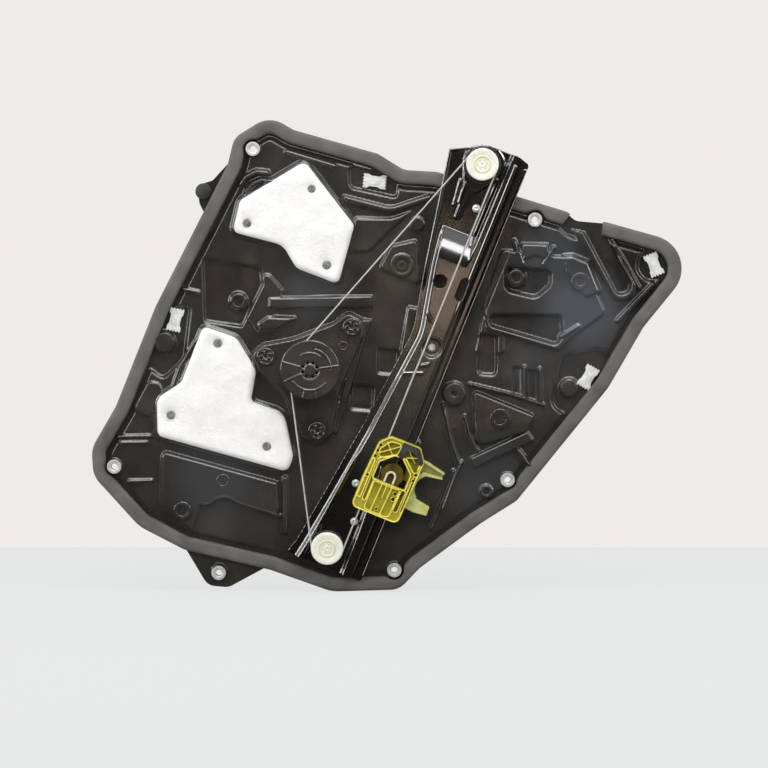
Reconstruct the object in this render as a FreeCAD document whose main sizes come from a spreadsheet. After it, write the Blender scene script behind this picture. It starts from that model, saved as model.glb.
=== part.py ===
import FreeCAD, Part
import math
import os
import re

import Sketcher

# A rear-door module carrier with its cable window regulator, in millimetres.
#
# Two frames are used. The panel frame has x to the right and z upwards, counted from the
# lower left of the seal as seen from the wet side. The rail frame has its origin at the
# lower pulley, s across the rail and t along it, and leans by rail_lean. A height is
# counted from the panel's base face towards the wet side, which is -Y. Each finished
# piece is then shifted so that the row's origin is the lower door bolt.

V = FreeCAD.Vector

SIZES = {
    # carrier panel, an injection moulding of one wall thickness
    "wall": 2.2,
    "rim_setback": 1.5,
    "field_inset": 19.0,
    "field_height": 4.0,
    "seat_margin": 4.0,
    "seat_height": 7.0,
    "plate_height": 8.0,
    "tray_height": 9.0,
    "pocket_floor": 0.0,
    "reach": 60.0,
    # foam seal that runs round the rim
    "seal_width": 14.5,
    "seal_height": 9.0,
    "seal_shoulder": 5.0,
    "mouth_x": 523.0,
    "mouth_z": 384.0,
    "mouth_width": 34.0,
    # steel sleeves for the door bolts
    "bolt_bore": 3.4,
    "sleeve_radius": 5.5,
    "sleeve_flange": 7.5,
    "sleeve_flange_thickness": 1.5,
    "sleeve_foot": 0.3,
    "sleeve_boss_radius": 9.0,
    "sleeve_boss_height": 8.0,
    "press_gap": 0.1,
    # acoustic pads and their heat stakes
    "pad_thickness": 6.0,
    "pad_gap": 0.3,
    "stake_radius": 2.0,
    "stake_head": 4.3,
    "stake_head_thickness": 1.2,
    "stake_hole_gap": 0.4,
    # trim clips
    "clip_length": 23.5,
    "clip_width": 12.5,
    "clip_waist": 8.0,
    "clip_thickness": 3.2,
    "clip_stem": 3.4,
    "clip_barb": 4.4,
    "clip_depth": 7.0,
    # rubber buffer on the left edge
    "buffer_x": 120.5,
    "buffer_z": 420.5,
    "buffer_radius": 8.6,
    "buffer_neck": 6.3,
    "buffer_front": 3.0,
    "buffer_back": 6.0,
    # guide rail, pressed from sheet steel
    "rail_lean": 22.0,
    "rail_x": 250.4,
    "rail_z": 46.2,
    "rail_sheet": 1.2,
    "rail_flange_height": 12.0,
    "rail_plateau_height": 20.0,
    "rail_right": 46.0,
    "rail_plateau_right": 38.4,
    "rail_lip_height": 16.0,
    "rail_well_radius": 9.0,
    "rail_draft": 25.0,
    "rail_hole_radius": 7.6,
    "rail_hole_s": 4.8,
    "rail_hole_t": 304.0,
    "rail_slot_s": 29.8,
    "rail_slot_t": 304.5,
    "rail_slot_width": 9.6,
    "rail_slot_length": 25.5,
    "rivet_radius": 2.6,
    "rivet_head": 4.2,
    "rivet_head_thickness": 2.0,
    "rivet_tail": 4.0,
    "rivet_boss": 7.5,
    # pulleys, their journals and the cable
    "pulley_spacing": 434.0,
    "cable_radius": 0.8,
    "cable_gap": 0.3,
    "cable_height": 24.0,
    "pulley_line": 16.1,
    "pulley_radius": 16.9,
    "pulley_width": 8.0,
    "pulley_web": 1.6,
    "pulley_ring": 8.2,
    "journal_radius": 5.0,
    "journal_collar": 8.0,
    "running_gap": 0.06,
    # cable drum
    "drum_s": -86.9,
    "drum_t": 167.6,
    "drum_line": 22.5,
    "drum_radius": 24.2,
    "drum_half_width": 6.6,
    "groove_pitch": 2.6,
    "groove_mouth": 2.3,
    "drum_post": 4.0,
    "drum_post_depth": 4.5,
    "drum_hex": 6.6,
    # housing over the drum, part of the panel
    "dome_radius": 31.0,
    "dome_bore": 28.8,
    "dome_height": 33.4,
    "dome_ring": 8.0,
    "dome_ring_hole": 1.2,
    "dome_band": 19.5,
    "exit_width": 5.0,
    "lobe_reach": 13.0,
    "lobe_height": 15.0,
    "lobe_radius": 9.5,
    "lobe_plate_height": 10.0,
    "lobe_ring": 4.8,
    "lobe_ring_hole": 1.3,
    # slider
    "slider_gap": 0.4,
    "slider_height": 32.0,
    "slider_floor": 2.0,
    "slider_right": 59.0,
    "slider_low": 51.0,
    "slider_high": 135.5,
    "slider_left": 5.5,
    "slider_wall": 2.0,
    "slider_rib": 1.4,
    "slider_block_top": 86.0,
    "slider_block_height": 30.0,
    "shoe_thickness": 2.6,
    "shoe_depth": 5.4,
    "shoe_length": 20.0,
    "shoe_low": 56.0,
    "shoe_high": 96.0,
    "claw_low": 14.0,
    "claw_high": 24.0,
    "claw_s": 76.0,
    "claw_t": 96.5,
    "claw_radius": 15.0,
    "ferrule_radius": 2.4,
    "ferrule_bore": 1.2,
    "ferrule_length": 8.0,
    "ferrule_low": 64.0,
    "ferrule_high": 112.0,
    "tunnel_radius": 1.3,
    "clip_arch": 5.7,
    "clip_arch_wall": 2.0,
    "clip_arch_s": 33.5,
    "clip_arch_t": 95.3,
    # drive unit on the dry side
    "drive_radius": 34.0,
    "drive_depth": 18.0,
    "drive_seat_gap": 0.1,
    "ear_width": 17.0,
    "ear_thickness": 5.0,
    "screw_radius": 2.5,
    "screw_head": 5.5,
    "screw_head_height": 4.0,
    "screw_hole_gap": 0.3,
    "shaft_radius": 6.0,
    "worm_drop": 27.0,
    "worm_radius": 13.0,
    "worm_height": -16.0,
    "worm_left": 38.0,
    "worm_right": 36.0,
    "motor_radius": 18.5,
    "motor_length": 74.0,
    "motor_height": -22.0,
    "cover_thickness": 3.0,
    "box_length": 52.0,
    "box_width": 46.0,
    "box_low": -32.0,
    "box_high": -5.0,
    "socket_length": 26.0,
    "socket_width": 13.0,
    "socket_depth": 16.0,
}

# Corner points of each outline with the radius of its rounding.
OUTLINES = {
    "rim": [
        (255, -1, 40), (326, 1, 22), (348, 24, 18), (412, 71, 30), (450, 95, 15), (546, 214, 50),
        (583, 278, 50), (648.7, 358.9, 35), (545, 388, 20), (512, 391, 10), (503, 399, 8),
        (366, 441, 20), (331, 443, 22), (304, 460, 22), (215, 485, 25), (190, 500, 28),
        (153, 477, 20), (146, 449, 25), (70, 300, 60), (28, 195, 30), (2, 150, 30), (4, 121, 28),
        (52, 68, 45), (100, 43, 30), (190, 22, 30),
    ],
    "tab": [(96, 52, 3), (124, 5, 14), (146, 3, 14), (196, 30, 3)],
    "lug": [(152, 456, 2), (130, 432, 4), (114, 427, 7), (116, 408, 7), (122, 396, 3), (140, 420, 3)],
    "upper_pad": [
        (227, 452, 8), (159, 411, 8), (151, 378, 7), (204, 364, 20), (218, 340, 14), (262, 323, 6),
        (279, 385, 8),
    ],
    "lower_pad": [
        (120, 279, 6), (97, 220, 12), (71, 203, 12), (72, 163.5, 8), (209, 125.5, 8),
        (214.5, 142, 10), (205, 188, 18), (170, 200, 6), (176, 233, 14), (155, 267, 14),
    ],
    "lower_tray": [(73, 152, 8), (72, 88, 24), (108, 60, 12), (190, 46, 14), (203, 85, 20), (201, 117, 5)],
    "right_plate": [
        (433, 362, 6), (412, 300, 8), (416, 274, 5), (494, 250, 7), (507, 264, 6), (546, 292, 8),
        (520, 352, 8),
    ],
    "fan_plate": [(402, 214, 5), (404, 150, 10), (462, 167, 5), (471, 186, 5)],
    "bar_plate": [(398, 141, 3), (404, 127, 3), (471, 158, 3), (462, 171, 3)],
    "boss_plate": [(351, 318, 6), (347, 373, 6), (316, 366, 6), (301, 338, 8)],
    "strip_plate": [(286, 288, 2), (251, 166, 2), (262, 164, 2), (299, 287, 2)],
    "wave_plate": [
        (263, 420, 3), (267, 407, 3), (317, 395, 22), (362, 410, 5), (362, 421, 4), (317, 406, 22),
    ],
    "duct_plate": [(187, 311, 2), (187, 296, 2), (300, 297, 2), (300, 313, 2)],
    "channel_wall": [(503, 385, 3), (556, 299, 13), (583, 314, 13), (541, 380, 4)],
    "channel": [(501, 412, 2), (556, 309, 9), (573, 318, 9), (526, 412, 2)],
    "left_recess": [(119, 352, 4), (121, 284, 3), (161, 278, 3), (183, 322, 4), (181, 340, 4)],
    "left_clip_pocket": [(70, 298, 6), (53, 240, 14), (78, 222, 8), (101, 245, 10), (108, 302, 6)],
    "top_clip_pocket": [(272, 450, 6), (274, 424, 7), (325, 413, 5), (325, 436, 5)],
    "right_clip_pocket": [(496, 250, 12), (484, 196, 16), (504, 180, 14), (547, 239, 12), (541, 257, 8)],
    "rail_boss_pocket": [(437, 342, 7), (436, 316, 10), (470, 308, 12), (486, 322, 8), (486, 339, 7)],
    "step_pocket": [(421, 292, 5), (421, 279, 5), (491, 259, 6), (499, 268, 5), (497, 291, 5)],
    "rail_edge": [
        (-38, -20, 3), (46, -20, 3), (46, 452, 4), (33, 455.5, 20), (-4, 455, 25), (-38.5, 437, 2),
        (-17, 318, 90), (-1.5, 246, 70), (-14, 130, 90), (-25, 50, 80), (-33, -4, 20),
    ],
    "rail_plateau": [
        (-29, -15, 3), (38.4, -15, 3), (38.4, 447, 3), (-30, 439, 4), (-10, 318, 80), (5, 246, 60),
        (-7, 130, 80), (-18, 50, 80), (-26, -4, 20),
    ],
    "top_recess": [(-23, 466, 3), (-23, 424, 12), (-9, 357, 5), (21, 357, 5), (24, 420, 20), (27, 466, 3)],
    "foot_recess": [(26, -32, 3), (25, 30, 12), (21, 88, 6), (-9, 88, 6), (-19, 0, 10), (-21, -32, 3)],
    "slider_window": [(19, 88, 2), (52, 88, 2), (52, 103, 2), (42, 113, 2), (29, 113, 2), (19, 106, 2)],
    "slider_left_cell": [(8, 127, 2), (8, 110, 2), (29, 117, 2), (31, 133, 2), (18, 133, 3)],
    "slider_right_cell": [
        (35.5, 133.3, 2), (35.5, 118, 1), (45, 114.5, 1), (53, 106, 1), (57, 106, 1), (57, 122, 3),
        (51, 133.3, 3),
    ],
    "slider_insert": [
        (36, 132.8, 1), (36, 118.5, 1), (39, 118.5, 1), (39, 129.5, 1), (49.2, 129.5, 1.5),
        (53.4, 121, 1), (53.4, 107, 1), (56.5, 107, 1), (56.5, 122, 2.5), (50.6, 132.8, 2.5),
    ],
    "claw": [(55, 62, 2), (84.5, 70.5, 2), (85.5, 121, 2), (55, 125, 2)],
}

# Places in the panel frame. Door bolts: the first is the row's origin.
BOLTS = {
    "bolt_lower": (321.0, 22.0),
    "bolt_tab": (136.0, 19.0),
    "bolt_left": (26.2, 131.2),
    "bolt_upper": (172.5, 465.0),
    "bolt_rail": (468.6, 390.8),
    "bolt_right": (440.2, 117.2),
}
# Trim clips, with the direction of the long side in degrees.
CLIPS = {
    "clip_top": (300.3, 431.0, -6.0),
    "clip_left": (90.5, 285.5, 78.0),
    "clip_tip": (594.0, 343.5, 112.0),
    "clip_right": (525.0, 225.2, 61.0),
}
STAKES = {
    "stake_one": (234.2, 423.2),
    "stake_two": (166.4, 387.5),
    "stake_three": (249.9, 343.4),
    "stake_four": (135.5, 261.5),
    "stake_five": (86.1, 185.9),
    "stake_six": (186.9, 152.8),
}
# Screw lobes that hold the drive unit.
LOBES = {
    "lobe_left": (185.9, 247.3),
    "lobe_upper": (276.2, 278.3),
    "lobe_low": (239.8, 169.1),
}
# Moulded bosses: x, z, radius, height, radius of the hole in the top.
BOSSES = {
    "boss_tray": (157.0, 305.0, 8.0, 6.0, 5.0),
    "boss_plain": (139.0, 117.0, 8.5, 12.0, 5.0),
    "boss_corner": (98.0, 85.0, 9.5, 11.5, 5.5),
    "boss_dome": (79.0, 262.0, 10.0, 8.0, 0.0),
    "boss_ring": (329.0, 343.0, 12.0, 11.0, 8.0),
    "boss_pin": (329.0, 343.0, 5.0, 11.0, 0.0),
    "boss_east": (516.0, 326.0, 9.5, 11.0, 4.0),
    "boss_pocket": (449.0, 330.0, 8.5, 8.0, 4.5),
    "boss_fan": (432.0, 182.0, 10.5, 11.5, 6.0),
    "boss_side": (384.0, 208.0, 11.0, 11.0, 0.0),
    "boss_clip": (509.0, 199.0, 9.0, 6.0, 0.0),
    "boss_small": (418.0, 105.0, 6.5, 8.0, 3.5),
    "boss_top": (345.0, 386.0, 7.0, 8.0, 0.0),
}
# Raised ribs on the wet face: ends, width, height.
RIBS = {
    "rib_left_one": (30.0, 162.5, 63.0, 163.0, 3.0, 6.5),
    "rib_left_two": (42.0, 115.5, 65.0, 116.0, 3.0, 6.5),
    "rib_left_three": (99.0, 318.0, 115.0, 314.5, 3.0, 6.5),
    "rib_arc_one": (161.0, 431.0, 183.0, 443.0, 3.0, 10.0),
    "rib_notch": (447.0, 368.0, 455.0, 345.0, 4.0, 9.5),
    "rib_notch_two": (479.0, 345.0, 488.0, 361.0, 4.0, 9.5),
    "rib_slope": (452.0, 148.0, 463.0, 133.0, 4.0, 9.5),
    "rib_edge": (496.0, 268.0, 514.0, 279.0, 3.0, 10.0),
    "rib_foot": (206.0, 118.0, 206.0, 62.0, 5.0, 8.0),
    "rib_drum_one": (268.0, 262.0, 254.0, 200.0, 2.4, 12.0),
    "rib_slot_one": (446.0, 233.0, 440.0, 206.0, 5.0, 8.0),
    "rib_slot_two": (464.0, 231.0, 457.0, 203.0, 5.0, 8.0),
}
# Rivets of the rail, in the rail frame.
RIVETS = {
    "rivet_top": (11.5, 389.0),
    "rivet_middle": (23.0, 236.5),
    "rivet_edge": (2.5, 74.0),
    "rivet_foot": (16.1, 36.0),
}

doc = FreeCAD.newDocument("window_regulator")
sheet = doc.addObject("Spreadsheet::Sheet", "sizes")
cell_row = 0


def cell(name, value):
    """One driving dimension: its name in column A, its number in column B under that name."""
    global cell_row
    cell_row += 1
    sheet.set(f"A{cell_row}", name)
    sheet.set(f"B{cell_row}", str(value))
    sheet.setAlias(f"B{cell_row}", name)


def table(entries, fields):
    """The cells of a table of places: each entry's name followed by each field's."""
    for name, values in entries.items():
        for field, value in zip(fields, values):
            cell(f"{name}_{field}", value)


for size_name, size_value in SIZES.items():
    cell(size_name, size_value)
for outline_name, outline_corners in OUTLINES.items():
    table({f"{outline_name}_{i}": c for i, c in enumerate(outline_corners)}, ("x", "z", "r"))
table(BOLTS, ("x", "z"))
table(CLIPS, ("x", "z", "turn"))
table(STAKES, ("x", "z"))
table(LOBES, ("x", "z"))
table(BOSSES, ("x", "z", "radius", "height", "hole"))
table(RIBS, ("ax", "az", "bx", "bz", "width", "height"))
table(RIVETS, ("across", "along"))
doc.recompute()

UPRIGHT = FreeCAD.Placement(V(0, 0, 0), FreeCAD.Rotation(V(1, 0, 0), 90))


def number(expression):
    """The value of an expression in the sheet's names."""
    return float(sheet.evalExpression(str(expression)))


def bind(target, prop, expression):
    """Ties a property to an expression in the sheet's names."""
    named = re.sub(r"\b[a-z]\w*\b(?!\()", lambda word: "sizes." + word.group(), str(expression))
    target.setExpression(prop, named)


def corners_of(name):
    return [(f"{name}_{i}_x", f"{name}_{i}_z", f"{name}_{i}_r") for i in range(len(OUTLINES[name]))]


def rounding(before, here, after, radius):
    """Where a corner's arc starts and ends, its centre, and whether it turns left."""
    back = (before - here).normalize()
    ahead = (after - here).normalize()
    half = math.acos(max(-1.0, min(1.0, back.dot(ahead)))) / 2
    reach = radius / math.tan(half)
    centre = here + (back + ahead).normalize() * (radius / math.sin(half))
    return here + back * reach, here + ahead * reach, centre, back.cross(ahead).z < 0


def draw_rounded(sketch, corners):
    """A closed outline of straight sides and tangent arcs, tied to its corner cells."""
    count = len(corners)
    points = [V(number(x), number(z), 0) for x, z, _ in corners]
    radii = [number(r) for _, _, r in corners]
    arcs = [rounding(points[i - 1], points[i], points[(i + 1) % count], radii[i]) for i in range(count)]
    shapes = []
    for i, (start, end, centre, left) in enumerate(arcs):
        first, last = (start, end) if left else (end, start)
        angles = [math.atan2(p.y - centre.y, p.x - centre.x) for p in (first, last)]
        shapes.append(Part.ArcOfCircle(Part.Circle(centre, V(0, 0, 1), radii[i]), *angles))
        shapes.append(Part.LineSegment(end, arcs[(i + 1) % count][0]))
    sketch.addGeometry(shapes, False)
    sketch.addGeometry([Part.Point(p) for p in points], True)
    rules = []
    ties = []
    for i in range(count):
        arc, side, before, point = 2 * i, 2 * i + 1, (2 * i - 1) % (2 * count), 2 * count + i
        left = arcs[i][3]
        rules.append(Sketcher.Constraint("Tangent", before, 2, arc, 1 if left else 2))
        rules.append(Sketcher.Constraint("Tangent", arc, 2 if left else 1, side, 1))
        rules.append(Sketcher.Constraint("PointOnObject", point, 1, before))
        rules.append(Sketcher.Constraint("PointOnObject", point, 1, side))
        ties += [(len(rules) + k, corners[i][j]) for k, j in enumerate((2, 0, 1))]
        rules.append(Sketcher.Constraint("Radius", arc, radii[i]))
        rules.append(Sketcher.Constraint("DistanceX", -1, 1, point, 1, points[i].x))
        rules.append(Sketcher.Constraint("DistanceY", -1, 1, point, 1, points[i].y))
    sketch.addConstraint(rules)
    for index, expression in ties:
        bind(sketch, f"Constraints[{index}]", expression)


def outline(name):
    """A rounded outline as an upright sketch."""
    sketch = doc.addObject("Sketcher::SketchObject", name + "_outline")
    sketch.Placement = UPRIGHT
    draw_rounded(sketch, corners_of(name))
    return sketch


def offset(source, amount):
    """The same outline, wider by an amount, or narrower where it is negative."""
    wider = doc.addObject("Part::Offset2D", source.Name + "_offset")
    wider.Source = source
    wider.Join = "Arc" if number(amount) > 0 else "Intersection"
    bind(wider, "Value", amount)
    return wider


def slab(source, low, high, draft=None):
    """The solid over an outline between two heights, with drafted sides where asked."""
    solid = doc.addObject("Part::Extrusion", source.Name + "_slab")
    solid.Base = source
    solid.DirMode = "Custom"
    solid.Dir = V(0, -1, 0)
    solid.Solid = True
    bind(solid, "LengthFwd", high)
    bind(solid, "LengthRev", f"-({low})")
    if draft:
        bind(solid, "TaperAngle", draft)
    return solid


def post(x, z, radius, low, high, name="post"):
    """A round post that stands on the wet face at x, z, between two heights."""
    solid = doc.addObject("Part::Cylinder", name)
    bind(solid, "Radius", radius)
    bind(solid, "Height", f"({high}) - ({low})")
    solid.Placement = UPRIGHT
    bind(solid, "Placement.Base.x", x)
    bind(solid, "Placement.Base.y", f"-({low})")
    bind(solid, "Placement.Base.z", z)
    return solid


def block(x, z, low, width, length, rise, name="block"):
    """A square-edged block from x, z and a low height: width across, length upwards, rise in height."""
    solid = doc.addObject("Part::Box", name)
    bind(solid, "Length", width)
    bind(solid, "Width", rise)
    bind(solid, "Height", length)
    bind(solid, "Placement.Base.x", x)
    bind(solid, "Placement.Base.y", f"-(({low}) + ({rise}))")
    bind(solid, "Placement.Base.z", z)
    return solid


def bar(ax, az, bx, bz, width, low, high, name="bar"):
    """A straight rib between two points of the wet face."""
    solid = doc.addObject("Part::Box", name)
    run = V(number(bx) - number(ax), 0, number(bz) - number(az))
    side = V(run.z, 0, -run.x).normalize()
    bind(solid, "Length", f"sqrt(pow(({bx}) - ({ax}); 2) + pow(({bz}) - ({az}); 2))")
    bind(solid, "Width", f"({high}) - ({low})")
    bind(solid, "Height", width)
    turn = FreeCAD.Rotation(run, V(0, -1, 0), side, "XZY")
    start = V(number(ax), -number(low), number(az)) - side * (number(width) / 2)
    solid.Placement = FreeCAD.Placement(start, turn)
    return solid


def fused(name, pieces):
    whole = doc.addObject("Part::MultiFuse", name)
    whole.Shapes = pieces
    return whole


def cut(name, base, tools):
    """A base less one tool or several."""
    result = doc.addObject("Part::Cut", name)
    result.Base = base
    result.Tool = tools[0] if len(tools) == 1 else fused(name + "_tools", tools)
    return result


def in_panel(node, name):
    """A finished piece of the panel frame, shifted to the row's origin."""
    node.Label = name
    bind(node, "Placement.Base.x", "-bolt_lower_x")
    bind(node, "Placement.Base.z", "-bolt_lower_z")
    return node


def in_rail(node, name):
    """A finished piece of the rail frame, leaned and shifted to the row's origin."""
    node.Label = name
    node.Placement = FreeCAD.Placement(V(0, 0, 0), FreeCAD.Rotation(V(0, 1, 0), number("rail_lean")))
    bind(node, "Placement.Rotation.Angle", "rail_lean")
    bind(node, "Placement.Base.x", "rail_x - bolt_lower_x")
    bind(node, "Placement.Base.z", "rail_z - bolt_lower_z")
    return node


def rail_point_x(across, along):
    """The panel-frame x of a point of the rail frame."""
    return f"rail_x + ({across}) * cos(rail_lean) + ({along}) * sin(rail_lean)"


def rail_point_z(across, along):
    """The panel-frame z of a point of the rail frame."""
    return f"rail_z - ({across}) * sin(rail_lean) + ({along}) * cos(rail_lean)"


def turned(name, profile):
    """A turned body about a height axis. The profile is (radius, height) corners, in order."""
    body = doc.addObject("PartDesign::Body", name)
    plane = next(f for f in body.Origin.OriginFeatures if f.Role == "XY_Plane")
    sketch = body.newObject("Sketcher::SketchObject", name + "_profile")
    sketch.AttachmentSupport = [(plane, "")]
    sketch.MapMode = "FlatFace"
    points = [V(number(radius), -number(height), 0) for radius, height in profile]
    count = len(points)
    sketch.addGeometry([Part.LineSegment(points[i], points[(i + 1) % count]) for i in range(count)], False)
    rules = []
    ties = []
    for i, (radius, height) in enumerate(profile):
        rules.append(Sketcher.Constraint("Coincident", i, 2, (i + 1) % count, 1))
        if str(radius) == "0":
            rules.append(Sketcher.Constraint("PointOnObject", i, 1, -2))
        else:
            ties.append((len(rules), radius))
            rules.append(Sketcher.Constraint("DistanceX", -1, 1, i, 1, points[i].x))
        ties.append((len(rules), f"-({height})"))
        rules.append(Sketcher.Constraint("DistanceY", -1, 1, i, 1, points[i].y))
    sketch.addConstraint(rules)
    for index, expression in ties:
        bind(sketch, f"Constraints[{index}]", expression)
    revolution = body.newObject("PartDesign::Revolution", name + "_turned")
    revolution.Profile = sketch
    revolution.ReferenceAxis = (sketch, ["V_Axis"])
    revolution.Angle = 360
    body.Tip = revolution
    return body


def group(name, master, places):
    """One node of several equal solids. Each place is a placement in the row frame."""
    node = doc.addObject("Part::Feature", name)
    copies = []
    for place in places:
        copy = master.Shape.copy()
        copy.Placement = place.multiply(copy.Placement)
        copies.append(copy)
    node.Shape = Part.makeCompound(copies)
    node.Label = name
    return node


def at_panel(x, z, height=0, turn=0):
    """A placement at a panel-frame point, turned about the height axis."""
    where = V(number(x) - number("bolt_lower_x"), -number(height), number(z) - number("bolt_lower_z"))
    return FreeCAD.Placement(where, FreeCAD.Rotation(V(0, -1, 0), number(turn)))


def carrier_panel():
    """The moulded carrier: a rim, a raised field, seats, plates and pockets, all one wall thick."""
    rim = offset(outline("rim"), "-rim_setback")
    field = offset(doc.getObject("rim_outline"), "-field_inset")
    lobes = doc.addObject("Part::Polygon", "lobe_triangle")
    lobes.Nodes = [V(number(f"{n}_x"), 0, number(f"{n}_z")) for n in LOBES]
    lobes.Close = True
    drum_x = rail_point_x("drum_s", "drum_t")
    drum_z = rail_point_z("drum_s", "drum_t")
    raised = [(field, "field_height")]
    raised += [(offset(outline(n), "seat_margin"), "seat_height") for n in ("upper_pad", "lower_pad")]
    raised += [(outline(n), "tray_height") for n in ("lower_tray", "fan_plate", "wave_plate")]
    raised += [
        (outline(n), "plate_height")
        for n in ("right_plate", "bar_plate", "boss_plate", "strip_plate", "duct_plate", "channel_wall")
    ]
    raised.append((offset(lobes, "lobe_reach"), "lobe_plate_height"))
    outer = [slab(rim, "-wall", "0")]
    outer += [slab(outline(n), "-wall", "0") for n in ("tab", "lug")]
    outer += [slab(shape, "-wall", height) for shape, height in raised]
    outer.append(post(drum_x, drum_z, "dome_radius", "-wall", "dome_height", "dome_outer"))
    for n in LOBES:
        outer.append(post(f"{n}_x", f"{n}_z", "lobe_radius", "-wall", "lobe_height", n + "_outer"))
    inner = [slab(offset(shape, "-wall"), "-2 * wall", f"{height} - wall") for shape, height in raised]
    inner.append(post(drum_x, drum_z, "dome_bore", "-2 * wall", "dome_height - wall", "dome_inner"))
    shell = cut("panel_shell", fused("panel_outer", outer), inner)
    pockets = {
        "channel": "field_height",
        "left_recess": "field_height",
        "left_clip_pocket": "field_height",
        "top_clip_pocket": "field_height",
        "right_clip_pocket": "field_height",
        "rail_boss_pocket": "plate_height",
        "step_pocket": "plate_height",
    }
    added = []
    hollows = []
    for n, edge in pockets.items():
        mouth = outline(n)
        added.append(slab(offset(mouth, "wall"), "pocket_floor - wall", edge))
        hollows.append(slab(mouth, "pocket_floor", "reach"))
    added.append(post("clip_tip_x", "clip_tip_z", "19 + wall", "pocket_floor - wall", "field_height", "tip_wall"))
    hollows.append(post("clip_tip_x", "clip_tip_z", "19", "pocket_floor", "reach", "tip_pocket"))
    sunk = cut("panel_sunk", fused("panel_backed", [shell] + added), hollows)
    solids = [sunk]
    holes = []
    for n in BOLTS:
        solids.append(post(f"{n}_x", f"{n}_z", "sleeve_boss_radius", "-wall", "sleeve_boss_height", n + "_boss"))
        holes.append(post(f"{n}_x", f"{n}_z", "sleeve_radius + press_gap", "-reach", "reach", n + "_hole"))
    for n in BOSSES:
        solids.append(post(f"{n}_x", f"{n}_z", f"{n}_radius", "-wall", f"{n}_height", n + "_post"))
        if number(f"{n}_hole") > 0:
            holes.append(post(f"{n}_x", f"{n}_z", f"{n}_hole", f"{n}_height - 5", "reach", n + "_bore"))
    centre = solids.pop([s.Name for s in solids].index("boss_pin_post"))
    for n in LOBES:
        solids.append(post(f"{n}_x", f"{n}_z", "lobe_radius", "-wall", "lobe_height", n + "_post"))
        holes.append(post(f"{n}_x", f"{n}_z", "screw_radius + press_gap", "-reach", "lobe_height - 4", n + "_hole"))
    for n in RIVETS:
        x = rail_point_x(f"{n}_across", f"{n}_along")
        z = rail_point_z(f"{n}_across", f"{n}_along")
        top = "rail_flange_height - rail_sheet - press_gap"
        solids.append(post(x, z, "rivet_boss", "-wall", top, n + "_boss"))
        holes.append(post(x, z, "rivet_radius + press_gap", "-reach", "reach", n + "_hole"))
    for n in RIBS:
        ends = (f"{n}_ax", f"{n}_az", f"{n}_bx", f"{n}_bz")
        solids.append(bar(*ends, f"{n}_width", "field_height - wall", f"{n}_height", n + "_bar"))
    for n in STAKES:
        holes.append(post(f"{n}_x", f"{n}_z", "stake_radius + press_gap", "-reach", "reach", n + "_hole"))
    for n in CLIPS:
        holes.append(post(f"{n}_x", f"{n}_z", "clip_stem + press_gap", "-reach", "reach", n + "_hole"))
    holes.append(post("buffer_x", "buffer_z", "buffer_neck + press_gap", "-reach", "reach", "buffer_hole"))
    holes += dome_openings(drum_x, drum_z)
    band = slab(offset(doc.getObject("rim_outline"), "2"), "0", "reach")
    middle = slab(offset(doc.getObject("rim_outline"), "-(seal_width + press_gap)"), "-reach", "reach")
    holes.append(cut("seal_band", band, [middle]))
    bored = cut("panel_bored", fused("panel_solids", solids), holes)
    bearing = post(
        drum_x, drum_z, "drum_post",
        "cable_height + drum_half_width - drum_post_depth", "dome_height - wall / 2", "drum_bearing",
    )
    return in_panel(fused("carrier_panel", [bored, centre, bearing]), "carrier_panel")


def dome_openings(drum_x, drum_z):
    """Ring of coring holes in the drum housing's top, and in each screw lobe, and the two cable exits."""
    tools = []
    for k in range(8):
        x = f"{drum_x} + dome_ring * cos({k * 45 + 22})"
        z = f"{drum_z} + dome_ring * sin({k * 45 + 22})"
        tools.append(post(x, z, "dome_ring_hole", "dome_height - wall / 2", "reach", f"dome_core_{k}"))
    for n in LOBES:
        for k in range(6):
            x = f"{n}_x + lobe_ring * cos({k * 60})"
            z = f"{n}_z + lobe_ring * sin({k * 60})"
            tools.append(post(x, z, "lobe_ring_hole", "lobe_height - 3", "reach", f"{n}_core_{k}"))
    for name, (start, end) in cable_lines().items():
        run = (end - start).normalize()
        far = start + run * number("dome_radius * 1.3")
        box = doc.addObject("Part::Box", name + "_exit")
        bind(box, "Length", "dome_radius * 1.3")
        bind(box, "Width", "exit_width")
        bind(box, "Height", "exit_width")
        lean = FreeCAD.Placement(
            V(number("rail_x"), 0, number("rail_z")), FreeCAD.Rotation(V(0, 1, 0), number("rail_lean"))
        )
        where = [lean.multVec(V(p.x, -number("cable_height"), p.y)) for p in (start, far)]
        ahead = (where[1] - where[0]).normalize()
        side = V(ahead.z, 0, -ahead.x)
        half = number("exit_width") / 2
        corner = where[0] - side * half + V(0, half, 0)
        box.Placement = FreeCAD.Placement(corner, FreeCAD.Rotation(ahead, V(0, -1, 0), side, "XZY"))
        tools.append(box)
    return tools


def cable_lines():
    """The two straight runs between the drum and the pulleys: drum end and pulley end, in the rail frame."""
    drum = V(number("drum_s"), number("drum_t"), 0)
    pulleys = {"upper": (V(0, number("pulley_spacing"), 0), 1), "lower": (V(0, 0, 0), -1)}
    lines = {}
    for name, (pulley, sense) in pulleys.items():
        run = pulley - drum
        slope = math.asin((number("drum_line") - number("pulley_line")) / run.Length)
        ahead = math.atan2(run.y, run.x)
        angle = ahead + sense * (math.pi / 2 - slope)
        normal = V(math.cos(angle), math.sin(angle), 0)
        lines[name] = (drum + normal * number("drum_line"), pulley + normal * number("pulley_line"))
    return lines


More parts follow.
